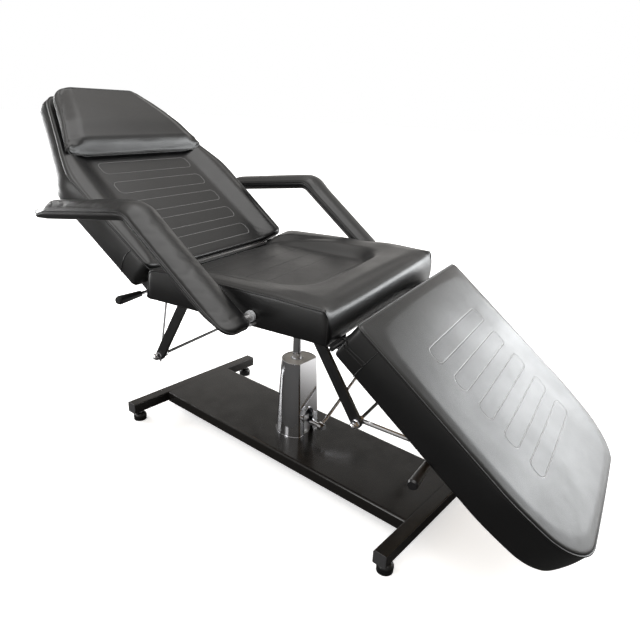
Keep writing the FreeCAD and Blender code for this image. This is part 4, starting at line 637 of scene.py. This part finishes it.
backrest_shape = {
    "counts": (72, 64, 12), "low": 0.0, "high": 0.605, "half": 0.300,
    "low_corner": 0.020, "high_corner": 0.040, "width": backrest_half,
    "side_radius": 0.004, "low_radius": 0.014, "high_radius": 0.004, "foot_radius": 0.005,
    "lip": open_lip(0.005, 0.265), "top": backrest_top, "hollow": 0.0125,
    "bulge": lambda x: 0.004 + 0.009 * smooth((x - 0.22) / 0.12), "draw_in": 0.002,
    "low_draw": lambda y: 0.005}
backrest_place = (Matrix.Translation(backrest_hinge) @ Matrix.Rotation(backrest_tilt, 4, "Y")
                  @ Matrix.Translation((-0.0124, 0, -0.0498)) @ Matrix.Diagonal((-1, 1, 1, 1)))
backrest = make_cushion("backrest_upholstery", backrest_shape, backrest_place, backrest_vinyl,
                        cap=0.0025)
smooth_once(backrest)
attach(backrest, "backrest")
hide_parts("backrest_cushion")
print("backrest", len(backrest.data.polygons))

# %% [markdown]
# A flat block of padding for the head lies on the upper backrest. Its top bends down in a band
# along the lower edge. Two rows of piping end the band, and the sewing draws it into puckers.

# %% Head pillow
def pillow_wave(y):
    return 0.0010 * math.sin(19 * y + 0.6) + 0.0007 * math.sin(47 * y)


def pillow_half(x):
    low_half, head_half, length = 0.253, 0.157, 0.213
    return low_half - (low_half - head_half) * max(x, 0.0) / length


def pillow_top(x, y, gap):
    # A sloping band up to a soft crease, then a slightly crowned top
    band = [(-0.005, -0.006), (0.000, 0.001), (0.010, 0.0135), (0.020, 0.0220), (0.028, 0.0262)]
    level = blend_between(band, x, ease=lambda share: max(share, 0.0))
    level += 0.0085 * smooth((x - 0.026) / 0.07) - 0.003 * smooth((x - 0.12) / 0.09)
    # The sides fall away to a thin sewn edge, and the low edge is gathered in waves
    past_edge = smooth((x - 0.002) / 0.02)
    fall = 0.013 * (1 - smooth((pillow_half(x) - abs(y)) / 0.055)) * past_edge
    return level - fall + pillow_wave(y) * (1 - past_edge)


def pillow_lip(x, y):
    inner = 1 - smooth((abs(y) - 0.185) / 0.035)
    return (0.0125 + 0.006 * inner) * (1 - smooth((x + 0.001) / 0.026))


pillow_shape = {
    "counts": (44, 60, 8), "low": -0.005, "high": 0.214, "half": 0.254,
    "low_corner": 0.018, "high_corner": 0.044, "width": pillow_half,
    "side_radius": 0.004, "low_radius": 0.003, "high_radius": 0.004, "foot_radius": 0.003,
    "lip": pillow_lip, "top": pillow_top, "hollow": 0.0, "bulge": lambda x: 0.003, "draw_in": 0.001,
    "low_draw": lambda y: 0.0}
pillow_place = backrest_place @ Matrix.Translation((0.389, 0, 0.0845))
pillow = make_cushion("pillow_upholstery", pillow_shape, pillow_place, plain_vinyl,
                      cap=0.0025, slack=0.02)
smooth_once(pillow)
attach(pillow, "backrest")
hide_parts("headrest_pillow")
print("pillow", len(pillow.data.polygons))

# %% [markdown]
# The leg rest is a thick flat pad with a rounded foot end. Its top is slightly crowned and sewn
# with five slots.

# %% Leg rest cushion
def legrest_top(x, y, gap):
    crown = 0.0045 * (1 - (y / 0.297) ** 2)
    return 0.0885 + crown + 0.0018 * smooth(min(gap, 0.03) / 0.03)


legrest_shape = {
    "counts": (72, 64, 12), "low": -0.005, "high": 0.620, "half": 0.2985,
    "low_corner": 0.014, "high_corner": 0.110,
    "width": lambda x: 0.2985 - 0.0265 * smooth((x - 0.400) / 0.220),
    "side_radius": 0.004, "low_radius": 0.006, "high_radius": 0.005, "foot_radius": 0.005,
    "lip": open_lip(0.0045, 0.27), "top": legrest_top, "hollow": 0.0125,
    "bulge": lambda x: 0.003, "draw_in": 0.002, "low_draw": lambda y: 0.006}
legrest_place = (Matrix.Translation(legrest_hinge) @ Matrix.Rotation(legrest_drop, 4, "Y")
                 @ Matrix.Translation((0.0075, 0, 0.0032)))
legrest = make_cushion("leg_rest_upholstery", legrest_shape, legrest_place, legrest_vinyl,
                       cap=0.0012)
smooth_once(legrest)
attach(legrest, "legrest")
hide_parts("legrest_cushion")
print("leg rest", len(legrest.data.polygons))

# %% [markdown]
# Piping is a thin cord wrapped in the same vinyl. It hides the seam between two panels, so it runs
# round the tops of the backrest, the pillow and the leg rest, and round the seat's side panels.

# %% Piping
piping_radius = 0.0022
low_edge_count = 240
low_edge_cells = [Vector((-1.0, -1 + 2 * step / low_edge_count, -0.999))
                  for step in range(low_edge_count + 1)]
pillow_low_edge = [pillow_place @ cushion_point(pillow_shape, cell) for cell in low_edge_cells]
lines = [("backrest_piping", cushion_rim(backrest_shape, backrest_place), "backrest", True),
         ("pillow_piping", cushion_rim(pillow_shape, pillow_place), "backrest", True),
         ("pillow_low_piping", pillow_low_edge, "backrest", False),
         ("leg_rest_piping", cushion_rim(legrest_shape, legrest_place), "legrest", True),
         ("seat_piping_right", panel_points(seat_shape, seat_place, -1.0), "seat", False),
         ("seat_piping_left", panel_points(seat_shape, seat_place, 1.0), "seat", False)]
for name, points, body, closed in lines:
    welt = piping(name, points, piping_radius, plain_vinyl, closed)
    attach(welt, body)
print("piping made")

# %% [markdown]
# The side bands are pieced together near the hinges. Fine sewn lines show the joins: one across
# each band, and on the leg rest a double row that follows the band to it.

# %% Side seams
side_seam("backrest_cross_seam", backrest_shape, backrest_place, "backrest",
          [(0.0600, 0.078), (0.0660, 0.060), (0.0655, 0.040), (0.0620, 0.020), (0.0570, 0.000)])
side_seam("leg_rest_cross_seam", legrest_shape, legrest_place, "legrest",
          [(0.0605, 0.084), (0.0610, 0.045), (0.0630, -0.002)])
side_seam("leg_rest_upper_row", legrest_shape, legrest_place, "legrest",
          [(0.0000, 0.047), (0.0060, 0.0425), (0.0160, 0.0385), (0.0330, 0.0400), (0.0600, 0.0435)])
side_seam("leg_rest_lower_row", legrest_shape, legrest_place, "legrest",
          [(0.0040, 0.0345), (0.0120, 0.0305), (0.0270, 0.0315), (0.0600, 0.0340)])
print("side seams made")

# %% [markdown]
# Each armrest is one long pad that climbs from the seat, bends over a knee and runs back level.
# The pad is built straight and then wrapped along that line.

# %% Armrest pads
arm_line = [Vector((0.073, 0.511)), Vector((-0.195, 0.725)), Vector((-0.556, 0.6825))]
knee_radius = 0.055
lower_run, upper_run = arm_line[1] - arm_line[0], arm_line[2] - arm_line[1]
lower_way, upper_way = lower_run.normalized(), upper_run.normalized()
knee_bend = lower_way.angle(upper_way)
knee_cut = knee_radius * math.tan(knee_bend / 2)
knee_arc = knee_radius * knee_bend
arm_length = lower_run.length + upper_run.length - 2 * knee_cut + knee_arc
arm_half = 0.0435
arm_thick = 0.027
arm_middle = 0.3615


def arm_path(distance):
    # Place and direction on the top line, with the knee as an arc
    straight = lower_run.length - knee_cut
    if distance <= straight:
        # Below zero the line runs on past its lower end
        return arm_line[0] + lower_way * distance, lower_way
    if distance <= straight + knee_arc:
        part = (distance - straight) / knee_radius
        sign = 1.0 if lower_way.x * upper_way.y - lower_way.y * upper_way.x > 0 else -1.0
        side = Vector((-lower_way.y, lower_way.x)) * sign
        centre = arm_line[0] + lower_way * straight + side * knee_radius
        turned = Matrix.Rotation(sign * part, 2)
        return centre - turned @ (side * knee_radius), turned @ lower_way
    rest = distance - straight - knee_arc
    return arm_line[1] + upper_way * (knee_cut + rest), upper_way


def arm_point(shape, cell, side):
    # The straight pad gets a thin tip that turns outwards and a raised nose, and is then wrapped
    flat = cushion_point(shape, cell)
    outer_share = min(max(flat.y / shape["half"] / 2 + 0.5, 0.0), 1.0)
    tip = smooth((flat.x - shape["high"] + 0.16) / 0.16)
    end = smooth((flat.x - shape["high"] + 0.075) / 0.075)
    nose = 1 - smooth(flat.x / 0.075)
    level_z = flat.z / arm_thick
    flat.z = flat.z * (1 - 0.42 * end) + 0.003 * end * (1 - level_z)
    flat.z += 0.011 * nose * max(1 - level_z, 0.0)
    flat.x -= 0.052 * outer_share * tip * flat.x / shape["high"]
    if side > 0 and level_z > 0:
        # The far pad is a little fuller on its sloping run
        run = smooth(flat.x / 0.08) * (1 - 0.7 * smooth((flat.x - 0.30) / 0.10))
        flat.z += 0.006 * min(level_z, 1.0) * run
    where, way = arm_path(flat.x)
    normal = Vector((way.y, -way.x))
    if normal.y < 0:
        normal = -normal
    level = where + normal * (flat.z - arm_thick)
    return Vector((level.x + chair_shift, side * (arm_middle + flat.y), level.y))


def arm_top(x, y, gap):
    # The sloping run is a little flatter than the level one behind the knee
    level = smooth((x - 0.28) / 0.12)
    edge = 0.018 + 0.004 * level
    crown = 0.012 + 0.006 * level
    return edge + crown * (1 - abs(y / arm_half) ** 2.6)


arm_shape = {
    "counts": (110, 18, 8), "low": -0.010, "high": arm_length, "half": arm_half,
    "low_corner": 0.032, "high_corner": 0.018, "width": lambda x: arm_half,
    "side_radius": 0.003, "low_radius": 0.010, "high_radius": 0.004, "foot_radius": 0.006,
    "lip": lambda x, y: 0.0, "top": arm_top, "hollow": 0.0, "bulge": lambda x: 0.002,
    "draw_in": 0.001, "low_draw": lambda y: 0.0}
arm_piping_radius = 0.0019
for side, name in ((1, "left"), (-1, "right")):
    block = grid_block(arm_shape["counts"])
    held = []
    for index, vert in enumerate(block.verts):
        u, v, w = vert.co
        if w < on_face or abs(u) > 0.97 or abs(v) > 0.88:
            held.append(index)
        vert.co = arm_point(arm_shape, vert.co, side)
    pad = make_piece("armrest_" + name + "_upholstery", block, Matrix.Identity(4), plain_vinyl)
    puff_up(pad, held, cap=0.0015, slack=0.003)
    smooth_once(pad)
    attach(pad, "armrest_" + name)
    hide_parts("armrest_" + name + "_pad")
    points = rim_points(lambda cell: arm_point(arm_shape, cell, side), 160)
    welt = piping("armrest_" + name + "_piping", points, arm_piping_radius, plain_vinyl)
    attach(welt, "armrest_" + name)
print("armrest pads made")

# %% [markdown]
# The steel, plastic, rubber and wood parts keep their shapes and get surfaces: a faint ripple in
# paint, drawn lines in bare steel, a few smudges on chrome.

# %% Hard materials
wear_inputs = [("Place", "NodeSocketVector", None), ("Size", "NodeSocketFloat", 60.0),
               ("Low", "NodeSocketFloat", 0.2), ("High", "NodeSocketFloat", 0.4)]
surface_wear, start, end = new_group("surface wear", wear_inputs, ["Roughness", "Height"])
given = start.outputs
patches = noise(surface_wear, given["Place"], given["Size"], 4, 0.6)
patches = ramp(surface_wear, patches, 0.3, 0.7, given["Low"], given["High"])
feed(surface_wear, patches, end.inputs["Roughness"])
ripple_scale = calc(surface_wear, "MULTIPLY", given["Size"], 9.0)
ripple = noise(surface_wear, given["Place"], ripple_scale, 2)
feed(surface_wear, ripple, end.inputs["Height"])


def hard(name, color, low, high, size, metallic=0.0, stretch=(1, 1, 1), bump=0.0001):
    material, tree, shader = new_material(name, color, low, metallic)
    place = mapped(tree, object_place(tree), scale=stretch)
    wear = use_group(tree, surface_wear, Place=place, Size=size, Low=low, High=high)
    feed(tree, wear.outputs["Roughness"], shader.inputs["Roughness"])
    add_bump(tree, shader, wear.outputs["Height"], bump)
    return material


looks = {
    "base_paint": hard("base paint", (0.012, 0.011, 0.010), 0.16, 0.26, size=25, bump=0.00005),
    "end_cap_plastic": hard("end cap plastic", (0.050, 0.050, 0.052), 0.40, 0.55, size=80),
    "foot_rubber": hard("foot rubber", (0.008, 0.008, 0.008), 0.25, 0.40, size=120),
    "bare_steel": hard("bare steel", (0.72, 0.72, 0.73), 0.32, 0.46, size=90, metallic=0.75,
                       stretch=(1, 1, 6)),
    "chrome": hard("chrome", (0.70, 0.70, 0.72), 0.06, 0.13, size=30, metallic=1.0, bump=0.00003),
    "cover_cap_paint": hard("cover cap paint", (0.40, 0.37, 0.33), 0.35, 0.50, size=70),
    "black_rubber": hard("black rubber", (0.008, 0.008, 0.009), 0.30, 0.45, size=100),
    "frame_paint": hard("frame paint", (0.007, 0.007, 0.0075), 0.30, 0.45, size=50),
    "bronze": hard("bronze", (0.62, 0.42, 0.22), 0.30, 0.45, size=90, metallic=1.0),
    "plywood": hard("plywood", (0.42, 0.28, 0.15), 0.55, 0.75, size=40, stretch=(0.2, 1, 8),
                    bump=0.0003),
}
bright_wire = hard("bright wire", (0.86, 0.88, 0.90), 0.35, 0.50, size=90, metallic=0.25)
washer_zinc = hard("washer zinc", (0.75, 0.77, 0.80), 0.35, 0.50, size=90, metallic=0.25)
special = {"armrest_discs": washer_zinc, "rear_lock_rod": bright_wire}
replaced = {"seat_cushion", "backrest_cushion", "headrest_pillow", "legrest_cushion",
            "armrest_left_pad", "armrest_right_pad"}
for part in frame["record"]["subparts"]:
    if part["node"] in replaced:
        continue
    look = special.get(part["node"], looks[part["material_slot"]])
    for material_slot in frame["nodes"][part["node"]].material_slots:
        material_slot.material = look
print("hard materials", len(looks))

# %% [markdown]
# The photograph has a plain white background. The floor is white to the camera and keeps the
# chair's soft shadow. In what the vinyl and the chrome reflect, it is white behind the chair and
# darker in front, because black vinyl shows the room that it stands in.

# %% Floor
bpy.ops.mesh.primitive_plane_add(size=60, location=(0, 0, 0))
floor = bpy.context.object
floor.name = "floor"
floor_material, tree, shader = new_material("floor white", (0.9, 0.9, 0.9), 0.9)
rays = tree.nodes.new("ShaderNodeLightPath").outputs
spot = axes(tree, object_place(tree))
# White counts for the camera, for rays through glass, and for reflections of the far floor
far_floor = calc(tree, "ADD", ramp(tree, spot[1], 0.0, 0.7),
                 ramp(tree, spot[1], -2.1, -1.1, 0.45, 0.0))
shown = calc(tree, "MULTIPLY", rays["Is Glossy Ray"], far_floor)
shown = calc(tree, "MAXIMUM", shown, rays["Is Transmission Ray"])
shown = calc(tree, "MAXIMUM", shown, rays["Is Camera Ray"])
tone = mix_colors(tree, shown, (0.08, 0.08, 0.08), (0.98, 0.98, 0.98))
feed(tree, tone, shader.inputs["Base Color"])
shader.inputs["Specular IOR Level"].default_value = 0.0
reach = calc(tree, "ADD", calc(tree, "MULTIPLY", spot[0], spot[0]),
             calc(tree, "MULTIPLY", spot[1], spot[1]))
glow = ramp(tree, calc(tree, "SQRT", reach), 0.4, 1.5, 0.50, 1.0)
glow = calc(tree, "MULTIPLY", glow, rays["Is Camera Ray"])
shader.inputs["Emission Color"].default_value = (1, 1, 1, 1)
feed(tree, glow, shader.inputs["Emission Strength"])
floor.data.materials.append(floor_material)
print("floor made")

# %% [markdown]
# The room is a soft sky: bright overhead, white towards the backdrop and dim behind the camera.
# Three windows and a ceiling light draw the long highlights on the padding. One window is behind
# the chair, one at its head end and one in front of it.

# %% Sky and lamps
world = bpy.data.worlds.new("studio")
bpy.context.scene.world = world
world.use_nodes = True
tree = world.node_tree
sky = tree.nodes["Background"]
rays = tree.nodes.new("ShaderNodeLightPath").outputs
way = axes(tree, tree.nodes.new("ShaderNodeTexCoord").outputs["Generated"])
overhead = ramp(tree, way[2], 0.52, 0.82, 0.0, 0.95)
toward = calc(tree, "ADD", calc(tree, "MULTIPLY", way[0], 0.60),
              calc(tree, "MULTIPLY", way[1], 0.80))
backdrop = ramp(tree, toward, 0.70, 0.98)
shown = calc(tree, "MAXIMUM", rays["Is Glossy Ray"], rays["Is Transmission Ray"])
shown = calc(tree, "MULTIPLY", shown, backdrop)
shown = calc(tree, "MAXIMUM", shown, rays["Is Camera Ray"])
wall = calc(tree, "MULTIPLY", ramp(tree, way[1], 0.2, 0.8, 0.12, 0.80),
            ramp(tree, way[2], 0.33, 0.52, 1.0, 0.25))
front = ramp(tree, way[1], -0.9, -0.2, 0.42, 0.10)
room = calc(tree, "ADD", overhead, calc(tree, "ADD", wall, front))
dimmed = calc(tree, "MULTIPLY", room, calc(tree, "SUBTRACT", 1.0, shown))
feed(tree, calc(tree, "ADD", dimmed, shown), sky.inputs["Strength"])
tint = mix_colors(tree, rays["Is Camera Ray"], (1.0, 0.97, 0.93), (1, 1, 1))
feed(tree, tint, sky.inputs["Color"])


def area_light(name, place, target, size, power, color=(1, 1, 1)):
    data = bpy.data.lights.new(name, "AREA")
    data.shape = "RECTANGLE"
    data.size, data.size_y = size
    data.energy = power
    data.color = color
    lamp = bpy.data.objects.new(name, data)
    bpy.context.scene.collection.objects.link(lamp)
    lamp.location = place
    aim = Vector(target) - Vector(place)
    lamp.rotation_euler = aim.to_track_quat("-Z", "Y").to_euler()


area_light("window behind", (2.2, 2.9, 1.0), (0.5, 0, 0.4), (2.7, 1.3), 76, (0.95, 0.98, 1.0))
area_light("window left", (-3.0, -0.15, 0.80), (-0.5, -0.15, 0.8), (1.9, 1.2), 100)
area_light("window front", (-1.4, -3.0, 1.3), (0, 0, 0.5), (0.9, 1.6), 26)
area_light("ceiling", (0.4, 0.1, 3.2), (0, 0, 0.4), (3.2, 2.6), 55)
print("lamps made")

# %% [markdown]
# The finish sets the plain Standard view transform.

# %% Finish
bpy.context.scene.view_settings.view_transform = "Standard"
